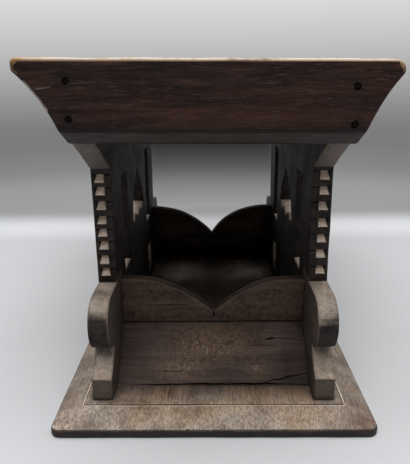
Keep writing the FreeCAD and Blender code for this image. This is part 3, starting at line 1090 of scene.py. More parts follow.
@dataclass
class SideBoard(Board):
    """A pierced side board: foot, round nose, notched waist, flare and shoulder at each end."""

    levels: Levels
    side: Side
    strays: tuple[float, ...]
    slot: str = "side_wood"
    foot_length: float = 500.0
    foot_height: float = 23.8
    hollow_height: float = 25.5
    hollow_sag: float = 3.0
    hollow_steps: int = 5
    nose_length: float = 500.0
    nose_radius: float = 28.0
    nose_steps: int = 14
    waist_length: float = 375.0
    flare_rise: float = 47.3
    shoulder_height: float = 41.7
    sink: float = 1.0
    first_notch_share: float = 0.25
    notch_height: float = 8.9
    notch_depth: float = 6.0
    notch_outer_margin: float = 2.7
    notch_inner_margin: float = 7.0
    notch_outer_flank: float = 2.8
    notch_inner_flank: float = 0.9
    notch_heights: Band = (0.94, 1.06)
    notch_depths: Band = (0.85, 1.1)
    notch_stray: float = 0.5
    hand_seed: int = 5
    saw_cut_height: float = 1.3
    saw_cut_depth: float = 1.8
    window_width: float = 112.0
    window_height: float = 67.0
    window_sill_rise: float = 25.0
    window_point_depth: float = 8.0
    window_points: int = 3
    window_bulge: float = 9.0
    window_steps: int = 7
    slot_width: float = 41.0
    slot_offset: float = 108.5
    slot_top_drop: float = 19.0
    slot_foot_drop: float = 8.2
    low_slot_rise: float = 13.0
    low_slot_height: float = 42.0
    eye_radius: float = 3.5
    eye_drop: float = 7.0
    eye_sides: int = 16
    end_grain_tone: float = 0.11
    flare_tone: float = 0.1
    inner_tone: float = 0.1
    sill_tone_and_light: float = 0.9
    low_jamb_tone: float = 0.42
    flank_facing: float = 0.35
    wall_facing: float = 0.3
    flank_reach: float = 9.0
    inner_reach: float = 30.0
    arris: float = 1.1
    overrun: float = 2.0
    warp_depth: float = 0.9
    warp_size: float = 30.0

    def __post_init__(self) -> None:
        """Names the node, and works out the heights that the outline and the cuts share."""
        self.node = self.side.name.lower() + "_side_board"
        self.thickness = self.levels.outer_face - self.levels.inner_face
        self.foot_top = self.levels.base_top + self.foot_height
        self.nose_bottom = self.foot_top + self.hollow_height
        self.nose_top = self.nose_bottom + 2 * self.nose_radius
        self.flare_top = self.levels.side_top - self.shoulder_height
        self.waist_top = self.flare_top - self.flare_rise
        self.waist_half = self.waist_length / 2

    def at(self, depth: float) -> float:
        """A place across the board, from its inner face outwards, on this board's side of the stool."""
        return self.side.value * (self.levels.inner_face + depth)

    def slab(self, name: str, points: Sequence[Vector], start: float, end: float) -> Workpiece:
        """A solid drawn in the board's own plane that runs from one depth to another."""
        moved = [Vector((self.at(start), p.y, p.z)) for p in points]
        return Workpiece.drawn(name, moved).extrude(X_AXIS * (self.at(end) - self.at(start)))

    def outline(self) -> list[Vector]:
        """The board's outline, its front half and that half mirrored."""
        foot, nose = self.foot_length / 2, self.nose_length / 2 - self.nose_radius
        hollow_start, hollow_end = lengthwise(-foot, self.foot_top), lengthwise(-nose, self.nose_bottom)
        nose_middle = lengthwise(-nose, self.nose_bottom + self.nose_radius)
        half = [lengthwise(-foot, self.levels.base_top - self.sink), hollow_start]
        half += bowed(hollow_start, hollow_end, self.hollow_sag, Vector((0, 1, -1)), self.hollow_steps)
        half += turned(nose_middle, hollow_end, X_AXIS, -180, self.nose_steps)
        half += [lengthwise(-self.waist_half, self.nose_top), lengthwise(-self.waist_half, self.waist_top),
                 lengthwise(-self.levels.top_half, self.flare_top),
                 lengthwise(-self.levels.top_half, self.levels.side_top)]
        return half + mirrored(half, Y_AXIS)

    def window(self) -> list[Vector]:
        """The outline of the middle opening: a pointed arch over a sill cut to points."""
        sill, half = self.nose_top + self.window_sill_rise, self.window_width / 2
        step = half / self.window_points
        points = [lengthwise(-half + i * step, sill if i % 2 else sill + self.window_point_depth)
                  for i in range(2 * self.window_points + 1)]
        apex = lengthwise(0, sill + self.window_height)
        points += bowed(points[-1], apex, self.window_bulge, Vector((0, 1, 1)), self.window_steps)
        points += bowed(apex, points[0], self.window_bulge, Vector((0, -1, 1)), self.window_steps)[:-1]
        return points

    def slots(self, y: float) -> list[list[Vector]]:
        """The outlines of a tall slot and of the short one under it."""
        half, low = self.slot_width / 2, self.levels.base_top + self.low_slot_rise
        heights = ((self.nose_top - self.slot_foot_drop, self.waist_top - self.slot_top_drop),
                   (low, low + self.low_slot_height))
        return [upright_rectangle(lengthwise(y - half, bottom), lengthwise(y + half, top))
                for bottom, top in heights]

    def openings(self) -> list[Workpiece]:
        """Cutters for the window, the slots and the eye."""
        outlines = [self.window()] + self.slots(-self.slot_offset) + self.slots(self.slot_offset)
        start, end = -self.overrun, self.thickness + self.overrun
        place = Vector((self.at(start), 0, self.nose_top - self.eye_drop))
        eye = Workpiece.rod("eye", place, X_AXIS * self.side.value, self.eye_radius, self.eye_radius,
                            end - start, self.eye_sides)
        return [self.slab("opening", outline, start, end) for outline in outlines] + [eye]

    def chip(self) -> Workpiece:
        """The cutter for one notch at the front, its floor's foot at the origin's height."""
        slope = self.notch_height / self.notch_depth
        profile = [lengthwise(-self.overrun, -self.overrun * slope),
                   lengthwise(self.notch_depth, self.notch_height),
                   lengthwise(-self.overrun, self.notch_height)]
        start, end = self.notch_inner_margin, self.thickness - self.notch_outer_margin
        chip = self.slab("chip", profile, start, end)
        middle = self.side.value * self.at((start + end) / 2)
        for vertex in chip.body.data.vertices:
            if vertex.co.y > (self.notch_depth - self.overrun) * MM:
                outer = self.side.value * vertex.co.x / MM > middle
                flank = -self.notch_outer_flank if outer else self.notch_inner_flank
                vertex.co.x += self.side.value * flank * MM
        return chip

    def notch_tops(self) -> list[float]:
        """The heights of the notches' tops, each a little off its even place as the hand left it."""
        pitch = (self.waist_top - self.nose_top) / (len(self.strays) + self.first_notch_share)
        return [self.waist_top - (i + self.first_notch_share) * pitch + stray
                for i, stray in enumerate(self.strays)]

    def notches(self) -> tuple[list[Workpiece], list[Workpiece]]:
        """Cutters for the notches down both edges, and for the saw cuts above them."""
        chance = random.Random(self.side.value + self.hand_seed)
        chip, chips, saw_cuts = self.chip(), [], []
        low_x, high_x = sorted((self.at(-self.overrun), self.at(self.thickness + self.overrun)))
        for end in End:
            for top in self.notch_tops():
                tall, deep = chance.uniform(*self.notch_heights), chance.uniform(*self.notch_depths)
                aside = chance.uniform(-self.notch_stray, self.notch_stray)
                place = Vector((aside, end.value * self.waist_half, top - self.notch_height * tall))
                chips.append(chip.copy(place, Vector((1, -end.value * deep, tall))))
                reach = (self.waist_half + self.overrun, self.waist_half - self.saw_cut_depth * deep)
                low_y, high_y = sorted(end.value * far for far in reach)
                saw_cuts.append(Workpiece.block("saw_cut", Vector((low_x, low_y, top - self.saw_cut_height)),
                                                Vector((high_x, high_y, top))))
        chip.discard()
        return chips, saw_cuts

    def grooves(self) -> list[Workpiece]:
        """Cutters for the housings of the end boards and the lower boards."""
        closings = [closing for end in End for closing in (EndBoard(end), LowerBoard(self.levels, end))]
        return [self.slab("groove", closing.section(), -self.overrun, closing.housing_depth)
                for closing in closings]

    def shape(self) -> Workpiece:
        """Draws the board, pierces it, rounds its edges, notches its waist and houses the end boards."""
        piece = self.slab(self.side.name.lower() + "_pierced_side", self.outline(), 0, self.thickness)
        piece.cut(self.openings())
        piece.round_edges(self.arris)
        chips, saw_cuts = self.notches()
        # The notches' cut faces take the pale second tone: partly bare cut wood, partly painted light on the
        # floors that face up.
        piece.cut(chips, Mark.TONED)
        piece.cut(saw_cuts, Mark.GRIMED_AND_SHADED)
        for groove in self.grooves():
            piece.cut([groove])
        self.aged(piece)
        piece.tone(self.end_grain_tone, self._on_foot_end)
        # Painted shade: the notch flanks that face sideways go back to the dark wood, while their floors stay
        # pale.
        piece.tone(0.0, self._on_notched_edge, lambda normal: abs(normal.x) > self.flank_facing)
        # The sills that face up take the pale tone: partly bare wood, partly painted light.
        piece.tone(self.sill_tone_and_light, self._in_high_opening, lambda normal: normal.z > self.wall_facing)
        piece.tone(self.low_jamb_tone, self._in_low_slot, lambda normal: abs(normal.y) > self.wall_facing)
        piece.tone(self.inner_tone, self._on_inner_end)
        piece.tone(self.flare_tone, self._under_flare)
        return piece.paint("darkened", lambda place: float(self._in_low_slot(place)))

    def _on_foot_end(self, place: Vector) -> bool:
        """Whether a place lies on the end grain of a foot."""
        return place.z < self.foot_top - 2 * NEAR and abs(place.y) > self.foot_length / 2 - NEAR

    def _on_notched_edge(self, place: Vector) -> bool:
        """Whether a place lies on the notched stretch of an edge."""
        return self.nose_top < place.z < self.waist_top and abs(place.y) > self.waist_half - self.flank_reach

    def _in_opening(self, place: Vector) -> bool:
        """Whether a place lies on the wall of an opening, and not on a face of the board."""
        depth = self.side.value * place.x - self.levels.inner_face
        return abs(place.y) < self.slot_offset + self.slot_width and NEAR < depth < self.thickness - NEAR

    def _in_high_opening(self, place: Vector) -> bool:
        """Whether a place lies on the wall of an opening above the low slots."""
        return self._in_opening(place) and place.z > self.nose_bottom

    def _in_low_slot(self, place: Vector) -> bool:
        """Whether a place lies on the wall of a low slot."""
        return self._in_opening(place) and place.z < self.nose_bottom

    def _on_inner_end(self, place: Vector) -> bool:
        """Whether a place lies low on the inner face, out from the waist."""
        return (abs(place.y) > self.waist_half - self.inner_reach and place.z < self.nose_top + 3 * NEAR
                and abs(self.side.value * place.x - self.levels.inner_face) < NEAR)

    def _under_flare(self, place: Vector) -> bool:
        """Whether a place lies on the slanting face under a flare."""
        share = (place.z - self.waist_top) / self.flare_rise
        edge = self.waist_half + share * (self.levels.top_half - self.waist_half)
        return (self.waist_top + NEAR < place.z < self.flare_top - NEAR
                and abs(place.y) > max(self.waist_half, edge - 3 * NEAR))


@dataclass(frozen=True)
class Lobe:
    """Half of a scalloped edge: an even curve, steep at the cusp and level at the crown."""

    cusp_depth: float
    knee: float
    crown: float
    rise: float = 0.0

    def points(self, side: Side, top: float, y: float, middle: float, steps: int = 12) -> list[Vector]:
        """The curve's points after the cusp, out to the crown.

        Args:
            side: The side on which the lobe lies.
            top: The height of the board's top.
            y: The place of its face.
            middle: The cusp's place across the board.
            steps: How many points there are.

        Returns:
            The points.
        """
        high = top + self.rise
        cusp = across(side.value * middle, top - self.cusp_depth, y)
        knee, crown = across(self.knee, high, y), across(self.crown, high, y)
        shares = [(i + 1) / steps for i in range(steps)]
        curve = [cusp * (1 - t) ** 2 + knee * 2 * t * (1 - t) + crown * t ** 2 for t in shares]
        return [Vector((side.value * p.x, p.y, p.z)) for p in curve]


LOBES = {End.FRONT: {Side.LEFT: Lobe(38.5, 46.0, 88.0, 1.6), Side.RIGHT: Lobe(38.5, 44.0, 84.0)},
         End.BACK: {Side.LEFT: Lobe(44.0, 41.0, 103.0, 2.2), Side.RIGHT: Lobe(44.0, 29.0, 98.0, 3.6)}}


@dataclass
class EndBoard(Board):
    """The upright scalloped board that closes an end: two lobes that meet in a cusp."""

    end: End
    slot: str = "end_wood"
    cusp_shift: float = 1.6
    kerf_width: float = 2.1
    kerf_depth: float = 5.5
    housing_depth: float = 5.0
    scuff_share: float = 0.25
    seam: float = 1.0
    arris: float = 1.2
    warp_depth: float = 0.8
    warp_size: float = 26.0

    def __post_init__(self) -> None:
        """Reads the board's place from the frame."""
        self.node = self.end.name.lower() + "_end_board"
        self.box = Extent.of(self.node)
        self.face = self.box.low.y if self.end is End.FRONT else self.box.high.y
        self.cusp = self.box.high.z - LOBES[self.end][Side.LEFT].cusp_depth
        self.middle = self.cusp_shift if self.end is End.FRONT else 0.0

    def section(self) -> list[Vector]:
        """The board's section along the stool."""
        return upright_rectangle(self.box.low, self.box.high)

    def outline(self) -> list[Vector]:
        """The board's face: from the cusp up over the right lobe and down, and back up over the left lobe."""
        halves, high = {}, self.box.high
        for side, lobe in LOBES[self.end].items():
            edge = side.value * high.x
            ends = [across(edge, high.z + lobe.rise, self.face), across(edge, self.box.low.z, self.face)]
            halves[side] = lobe.points(side, high.z, self.face, self.middle) + ends
        return [across(self.middle, self.cusp, self.face)] + halves[Side.RIGHT] + halves[Side.LEFT][::-1]

    def shape(self) -> Workpiece:
        """Draws the board's face, gives it its thickness, rounds its edges and saws into the cusp."""
        low, high = self.box.low, self.box.high
        piece = Workpiece.drawn(self.end.name.lower() + "_scalloped_end", self.outline())
        piece.extrude(Y_AXIS * -self.end.value * (high.y - low.y))
        piece.round_edges(self.arris, 2, Mark.RUBBED, lambda edge: middle_of(edge).z > low.z + self.arris)
        piece.round_edges(self.seam, 1, Mark.GRIMED_AND_SHADED, lambda edge: middle_of(edge).z < low.z + self.seam
                          and abs(middle_of(edge).x) < NEAR)
        margin = Vector((self.kerf_width / 2, self.arris, 0))
        bottom = Vector((self.middle, low.y, self.cusp - self.kerf_depth)) - margin
        top = Vector((self.middle, high.y, self.cusp + self.kerf_depth)) + margin
        if self.end is End.FRONT:
            piece.cut([Workpiece.block("kerf", bottom, top)])
        return self.aged(piece).paint("scuffed", lambda place: self.scuff_share)


@dataclass(frozen=True)
class WearSpot:
    """A scuffed spot on a lower board: its place across, how far up it lies, its size and its strength."""

    x: float
    level: float
    width: float
    height: float
    share: float

    def amount(self, x: float, level: float) -> float:
        """How scuffed the spot leaves a place."""
        off_x, off_level = (x - self.x) / self.width, (level - self.level) / self.height
        return self.share * math.exp(-off_x ** 2 - off_level ** 2)


@dataclass
class LowerBoard(Board):
    """The board that slopes out and down from under an end board to the base, cracked along its grain."""

    levels: Levels
    end: End
    slot: str = "end_wood"
    thickness: float = 13.0
    run: float = 55.0
    housing_depth: float = 5.0
    spots: tuple[WearSpot, ...] = (
        WearSpot(-4.0, 0.66, 46.0, 0.3, 0.75), WearSpot(-36.0, 0.24, 27.0, 0.18, 0.6),
        WearSpot(48.0, 0.25, 14.0, 0.12, 0.5))
    crack_depth: float = 5.0
    crack_overrun: float = 3.0
    seam: float = 1.2
    arris: float = 0.8
    warp_depth: float = 1.1
    warp_size: float = 24.0

    def __post_init__(self) -> None:
        """Reads the board's place from the frame."""
        self.node = self.end.name.lower() + "_lower_board"
        self.box = Extent.of(self.node)
        self.height = self.box.high.z - self.box.low.z
        self.level = math.hypot(self.run, self.height) / self.height
        self.outward = Vector((0, self.end.value * self.height, self.run)).normalized()

    def section(self) -> list[Vector]:
        """The board's slanting section along the stool."""
        toe = self.box.low.y if self.end is End.FRONT else self.box.high.y
        inward = -self.end.value
        top_front = toe + inward * self.run
        back = inward * self.thickness * self.level
        return [lengthwise(top_front, self.box.high.z), lengthwise(toe, self.box.low.z),
                lengthwise(toe + back, self.box.low.z), lengthwise(top_front + back, self.box.high.z)]

    def before_face(self, x: float, rise: float) -> Vector:
        """A point just in front of the sloping face, by its place across and its height above the toe."""
        toe = self.section()[1]
        back = self.end.value * self.run * rise / self.height
        return Vector((x, toe.y - back, toe.z + rise)) + self.outward

    def cracks(self) -> list[Workpiece]:
        """Cutters for the long cracks and the tear in the face, and for the gap along the toe."""
        out = self.box.high.x - self.housing_depth + self.crack_overrun
        high = Crack((62.0, 36.5), (out, 34.0), 1.5, 0.7, 3)
        tear = Crack((57.0, 34.8), (70.0, 35.3), 2.25, 0.6, 5)
        low = Crack((48.0, 1.5), (out, 10.5), 1.95, 0.9, 8)
        gap = Crack((-99.0, 1.2), (out, 1.4), 3.9, 0.5, 11)
        into = self.outward * -(self.crack_depth + 1)
        return [crack.cutter(self.before_face, into) for crack in (high, tear, low, gap)]

    def shape(self) -> Workpiece:
        """Draws the section, runs it across the stool, rounds the edges and cracks the face."""
        low, high, inner = self.box.low, self.box.high, self.levels.inner_face
        points = [Vector((low.x, p.y, p.z)) for p in self.section()]
        piece = Workpiece.drawn(self.end.name.lower() + "_sloping_board", points)
        piece.extrude(X_AXIS * (high.x - low.x))
        piece.round_edges(self.seam, 1, Mark.GRIMED_AND_SHADED, lambda edge: abs(middle_of(edge).x) < inner
                          and middle_of(edge).z > high.z - NEAR)
        piece.round_edges(self.arris, 2, Mark.RUBBED, lambda edge: abs(middle_of(edge).x) < inner
                          and middle_of(edge).z < low.z + NEAR)
        for crack in self.cracks():
            piece.cut([crack])
        return self.aged(piece).paint("scuffed", self.wear)

    def wear(self, place: Vector) -> float:
        """How scuffed the face is: most in the middle of its upper half, less in two spots lower down."""
        level = (place.z - self.box.low.z) / self.height
        return sum(spot.amount(place.x, level) for spot in self.spots)


@dataclass(frozen=True)
class NailSizes:
    """The sizes of the stool's hand-made nails and of the pits that their heads lie in."""

    radius: float = 1.4
    length: float = 42.0
    point_length: float = 8.0
    point_radius: float = 0.15
    shank_sides: int = 8
    head_radius: float = 2.5
    head_thickness: float = 1.3
    head_taper: float = 0.9
    head_sides: int = 9
    dome: float = 0.4
    dome_share: float = 0.45
    hammering: float = 0.16
    sink: float = 0.9
    pit_radius: float = 2.75
    pit_floor_radius: float = 2.6
    pit_floor: float = 2.0
    pit_sides: int = 11
    pit_stray: float = 0.28

    def pit(self, place: Vector, inward: Vector) -> Workpiece:
        """The cutter for the rough pit at a place on a face, with the direction into the wood."""
        pit = Workpiece.rod("pit", place - inward, inward, self.pit_radius, self.pit_floor_radius,
                            1 + self.pit_floor, self.pit_sides)
        chance = random.Random(int(place.z * 10))
        for vertex in pit.body.data.vertices:
            outward = vertex.co / MM - place
            outward -= inward * outward.dot(inward)
            vertex.co += outward * chance.uniform(0, self.pit_stray) * MM
        return pit

    def nail(self, place: Vector, inward: Vector, seed: int) -> Workpiece:
        """A nail: a hammered head, a square-cornered shank and a point.

        Args:
            place: Where its axis meets the face of the wood.
            inward: The direction in which it is driven.
            seed: Which hammering its head took.

        Returns:
            The nail.
        """
        chance = random.Random(seed)
        head_place = place + inward * self.sink
        head = Workpiece.rod("head", head_place, inward, self.head_radius, self.head_radius * self.head_taper,
                             self.head_thickness, self.head_sides)
        head.edit()
        head.pick_faces(lambda face: face.normal.dot(inward) < -STRAIGHT)
        bpy.ops.mesh.inset(thickness=self.head_radius * self.dome_share * MM)
        bpy.ops.transform.translate(value=-inward * self.dome * MM)
        head.close()
        for vertex in head.body.data.vertices:
            vertex.co += Vector([chance.uniform(-self.hammering, self.hammering) for _ in range(3)]) * MM
        neck = head_place + inward * self.head_thickness * self.head_taper
        straight = self.length - self.head_thickness - self.point_length
        shank = Workpiece.rod("shank", neck, inward, self.radius, self.radius, straight, self.shank_sides)
        point = Workpiece.rod("point", neck + inward * straight, inward, self.radius, self.point_radius,
                              self.point_length, self.shank_sides)
        return head.join([shank, point])


@dataclass
class Nails:
    """The nails of one node, with the places of their heads."""

    node: str
    places: list[Vector]
    inward: Vector
    sizes: NailSizes
    smooth_degrees: float = 30.0

    def dress(self, finish: bpy.types.Material) -> list[bpy.types.Object]:
        """Makes the nails and puts them in their node's place."""
        made = [self.sizes.nail(place, self.inward, i) for i, place in enumerate(self.places)]
        group = made[0].join(made[1:])
        group.body.name = self.node.replace("_nails", "_hammered_nails")
        return [installed(group.finish(self.smooth_degrees), self.node, "nail_iron", finish)]


@dataclass(frozen=True)
class Slant:
    """One end of an apron: a sagging slant up to a blunt tip with a rounded top corner."""

    low: tuple[float, float]
    tip: tuple[float, float]
    sag: float
    top: float
    corner_radius: float
    steps: int = 12
    corner_steps: int = 7

    def points(self, y: float) -> list[Vector]:
        """The end's points from the bottom up and round the corner, on the plane at a place along Y."""
        low, tip = across(*self.low, y), across(*self.tip, y)
        side = math.copysign(1, tip.x)
        start = across(tip.x, self.top - self.corner_radius, y)
        centre = start - X_AXIS * side * self.corner_radius
        corner = turned(centre, start, Y_AXIS, -side * 90, self.corner_steps)
        return [low] + bowed(low, tip, self.sag, Vector((-side, 0, 1)), self.steps) + [start] + corner


SLANTS = {
    End.FRONT: (Slant((120.2, 281.6), (150.4, 337.5), 3.2, 347.9, 8.0),
                Slant((-118.8, 283.8), (-156.2, 342.0), 4.5, 351.7, 4.5)),
    End.BACK: (Slant((120.0, 284.5), (152.0, 340.0), 2.4, 350.0, 6.0),
               Slant((-120.0, 284.5), (-152.0, 340.0), 2.4, 350.0, 6.0)),
}
SPLITS = (Crack((-143.0, 327.0), (-122.5, 329.8), 1.9, 0.3, 2),
          Crack((-119.5, 331.9), (-89.0, 333.0), 1.33, 0.2, 4))
NAIL_HEIGHTS = {Side.LEFT: (334.0, 304.5), Side.RIGHT: (327.5, 298.5)}


@dataclass
class Apron(Board):
    """The slant-ended board across an end of the seat, chamfered below and nailed to the side boards."""

    levels: Levels
    end: End
    slot: str = "seat_wood"
    chamfer: float = 11.3
    chamfer_overrun: float = 2.0
    arris: float = 2.1
    rim_depth: float = 11.0
    worn_lit_span: Band = (310.0, 334.0)
    rounding: Band = (0.1, 0.99)
    lip_facing: float = 0.2
    glow_middle: tuple[float, float] = (35.0, 301.0)
    glow_size: tuple[float, float] = (110.0, 17.0)
    glow_share: float = 0.4
    stain_reach: float = 7.0
    tan_start: float = 138.0
    tan_reach: float = 12.0
    split_depth: float = 1.5
    pitch: tuple[float, float, float] = (6.5, 6.5, 6.5)
    warp_depth: float = 1.0
    warp_size: float = 32.0
    nails: NailSizes = NailSizes()

    def __post_init__(self) -> None:
        """Reads the board's place from the frame, and works out where the nails' axes meet its face."""
        self.node = self.end.name.lower() + "_apron"
        self.box = Extent.of(self.node)
        self.face = self.box.low.y if self.end is End.FRONT else self.box.high.y
        self.inward = Y_AXIS * -self.end.value
        nail_x = (self.levels.inner_face + self.levels.outer_face) / 2
        self.nail_places = [across(side.value * nail_x, z, self.face)
                            for side in Side for z in NAIL_HEIGHTS[side]]

    def outline(self) -> list[Vector]:
        """The board's face: up its right end, and down its left end."""
        right, left = SLANTS[self.end]
        return right.points(self.face) + left.points(self.face)[::-1]

    def underside(self) -> Workpiece:
        """The cutter for the broad chamfer along the face's lower edge."""
        (right_x, right_z), (left_x, left_z) = (slant.low for slant in SLANTS[self.end])
        fall = (right_z - left_z) / (right_x - left_x)
        start = -self.box.high.x - self.chamfer
        low, inward, over = left_z + fall * (start - left_x), -self.end.value, self.chamfer_overrun
        reach = self.chamfer + over
        section = [lengthwise(self.face - inward * over, low + reach, start),
                   lengthwise(self.face + inward * reach, low - over, start),
                   lengthwise(self.face - inward * over, low - over, start)]
        return Workpiece.drawn("underside", section).extrude(Vector((-2 * start, 0, -2 * start * fall)))

    def shape(self) -> Workpiece:
        """Draws the face, gives it its thickness, chamfers and rounds it, and cuts the pits and the split."""
        piece = Workpiece.drawn(self.end.name.lower() + "_slanted_apron", self.outline())
        piece.extrude(self.inward * (self.box.high.y - self.box.low.y))
        piece.cut([self.underside()], Mark.TONED)
        piece.round_edges(self.arris, 3, Mark.PLAIN)
        piece.edit()
        # The top rim takes the pale worn colour, partly wear and partly a painted highlight; the worn stretch
        # of the left slant a pale colour, partly wear and partly a painted highlight; the lip above the
        # chamfer a dark colour, a painted shadow line.
        piece.pick_faces(self._on_rim, Mark.RUBBED)
        piece.pick_faces(self._on_worn_lit_slant, Mark.FADED_AND_HIGHLIT)
        piece.pick_faces(self._on_lip, Mark.GRIMED_AND_SHADED)
        piece.close()
        piece.cut([self.nails.pit(place, self.inward) for place in self.nail_places], Mark.GRIMED_AND_SHADED)
        if self.end is End.FRONT:
            into = self.inward * self.split_depth
            # The splits' cut faces are painted pale: a painted highlight along their lips.
            piece.cut([split.cutter(self._before_face, into) for split in SPLITS], Mark.FADED_AND_HIGHLIT)
        self.aged(piece)
        return piece.paint("scuffed", self.glow).paint("tanned", self.tan).paint("stained", self.stain)

    def glow(self, place: Vector) -> float:
        """How reddish the wood is at a place: most in the lower middle of the face."""
        off_x = (place.x - self.glow_middle[0]) / self.glow_size[0]
        off_z = (place.z - self.glow_middle[1]) / self.glow_size[1]
        return self.glow_share * math.exp(-off_x ** 2 - off_z ** 2)

    def tan(self, place: Vector) -> float:
        """How tanned the rim is, which is all towards the tips."""
        return min(1.0, max(0.0, (abs(place.x) - self.tan_start) / self.tan_reach))

    def stain(self, place: Vector) -> float:
        """How far the nails' rust has stained a place."""
        return sum(math.exp(-((place - nail).length / self.stain_reach) ** 2) for nail in self.nail_places)

    def _before_face(self, x: float, z: float) -> Vector:
        """A point just in front of the board's face."""
        return across(x, z, self.face) - self.inward

    def _on_arris(self, face: bmesh.types.BMFace) -> bool:
        """Whether a face is part of the rounding between the board's outer face and what lies round it."""
        low, high = self.rounding
        depth = abs(face.calc_center_median().y / MM - self.face)
        return low < abs(face.normal.y) < high and depth < self.arris

    def _on_rim(self, face: bmesh.types.BMFace) -> bool:
        """Whether a face is part of the top rim, its rounded corners included."""
        return self._on_arris(face) and face.calc_center_median().z / MM > self.box.high.z - self.rim_depth

    def _on_worn_lit_slant(self, face: bmesh.types.BMFace) -> bool:
        """Whether a face is part of the worn stretch of the left slant, which is painted pale: partly wear,
        partly a painted highlight.
        """
        low, high = self.worn_lit_span
        return (self._on_arris(face) and face.normal.x < -self.rounding[0]
                and low < face.calc_center_median().z / MM < high)

    def _on_lip(self, face: bmesh.types.BMFace) -> bool:
        """Whether a face is part of the lip above the chamfer, which takes a painted shadow line."""
        rise = face.calc_center_median().z / MM - self.box.low.z - self.chamfer
        return self._on_arris(face) and abs(rise) < 2 * self.arris and abs(face.normal.x) < self.lip_facing

    def dress(self, finish: bpy.types.Material, iron: bpy.types.Material) -> list[bpy.types.Object]:
        """Shapes the board and its nails, and puts them in their nodes' places."""
        nails = Nails(self.node + "_nails", self.nail_places, self.inward, self.nails)
        return super().dress(finish) + nails.dress(iron)


@dataclass
class SeatBoard(Board):
    """The seat: one broad board whose long edges slant in downwards like the aprons' ends."""

    node: str = "seat_board"
    slot: str = "seat_wood"
    slant: float = 9.4
    corner_overhang: float = -1.5
    hang: float = 0.0125
    edge_radius: float = 3.0
    arris: float = 0.8
    row: int = 4
    pitch: tuple[float, float, float] = (9.0, 11.7, 0.0)
    warp_depth: float = 0.9
    warp_size: float = 45.0
    nails: NailSizes = NailSizes()

    def __post_init__(self) -> None:
        """Reads the board's place from the frame."""
        self.box = Extent.of(self.node)

    def nail_places(self, side: Side) -> list[Vector]:
        """Where a row's nails meet the seat's top."""
        box = Extent.of(side.name.lower() + "_seat_nails")
        first = box.low.y + self.nails.head_radius
        step = (box.high.y - self.nails.head_radius - first) / (self.row - 1)
        x = (box.low.x + box.high.x) / 2
        places = [Vector((x, first + i * step, self.box.high.z)) for i in range(self.row)]
        length = self.box.high.y - self.box.low.y
        return [p - Z_AXIS * self.hang * p.x * (self.box.high.y - p.y) / length for p in places]

    def shape(self) -> Workpiece:
        """Draws the section, runs it along the stool, rounds its edges and cuts the nails' pits."""
        low, high = self.box.low, self.box.high
        top_half = high.x + self.corner_overhang
        section = [across(self.slant - top_half, low.z, low.y), across(top_half - self.slant, low.z, low.y),
                   across(top_half, high.z, low.y), across(-top_half, high.z, low.y)]
        piece = Workpiece.drawn("broad_seat", section).extrude(Y_AXIS * (high.y - low.y))
        piece.round_edges(self.edge_radius, 3, Mark.RUBBED,
                          lambda edge: middle_of(edge).z > high.z - NEAR and abs(middle_of(edge).y) < NEAR)
        piece.round_edges(self.arris, 2, Mark.PLAIN, lambda edge: middle_of(edge).z < low.z + NEAR)
        places = [place for side in Side for place in self.nail_places(side)]
        piece.cut([self.nails.pit(place, -Z_AXIS) for place in places], Mark.GRIMED_AND_SHADED)
        piece.slice(self.pitch).lean(self.hang, low.y, high.y)
        return piece.warp(self.warp_depth, self.warp_size).finish()

    def dress(self, finish: bpy.types.Material, iron: bpy.types.Material) -> list[bpy.types.Object]:
        """Shapes the board and its nails, and puts them in their nodes' places."""
        pieces = super().dress(finish)
        for side in Side:
            node = side.name.lower() + "_seat_nails"
            pieces += Nails(node, self.nail_places(side), -Z_AXIS, self.nails).dress(iron)
        return pieces


def installed(piece: Workpiece, node: str, slot: str, finish: bpy.types.Material) -> bpy.types.Object:
    """Gives a finished piece its material and puts it in the place of its node.

    Args:
        piece: The finished piece.
        node: The node that it stands for.
        slot: The record's material slot, which is not used.
        finish: Its material.

    Returns:
        The piece's object.
    """
    body = piece.body
    body.data.materials.append(finish)
    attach(body, "root")
    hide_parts(node)
    LOG.info("%s stands for %s: %d faces", body.name, node, len(body.data.polygons))
    return body


# The studio

@dataclass(frozen=True)
class Softbox:
    """A soft studio light: where it hangs, what it points at, its size, strength and tint."""

    name: str
    place: tuple[float, float, float]
    target: tuple[float, float, float]
    size: tuple[float, float]
    watts: float
    tint: Colour = (1.0, 1.0, 1.0)

    def hang(self) -> None:
        """Adds the light."""
        place, target = Vector(self.place) * MM, Vector(self.target) * MM
        bpy.ops.object.light_add(type="AREA", location=place)
        lamp = bpy.context.object
        lamp.name = self.name
        lamp.rotation_euler = (target - place).to_track_quat("-Z", "Y").to_euler()
        lamp.data.shape = "RECTANGLE"
        lamp.data.size, lamp.data.size_y = self.size[0] * MM, self.size[1] * MM
        lamp.data.energy = self.watts
        lamp.data.color = self.tint


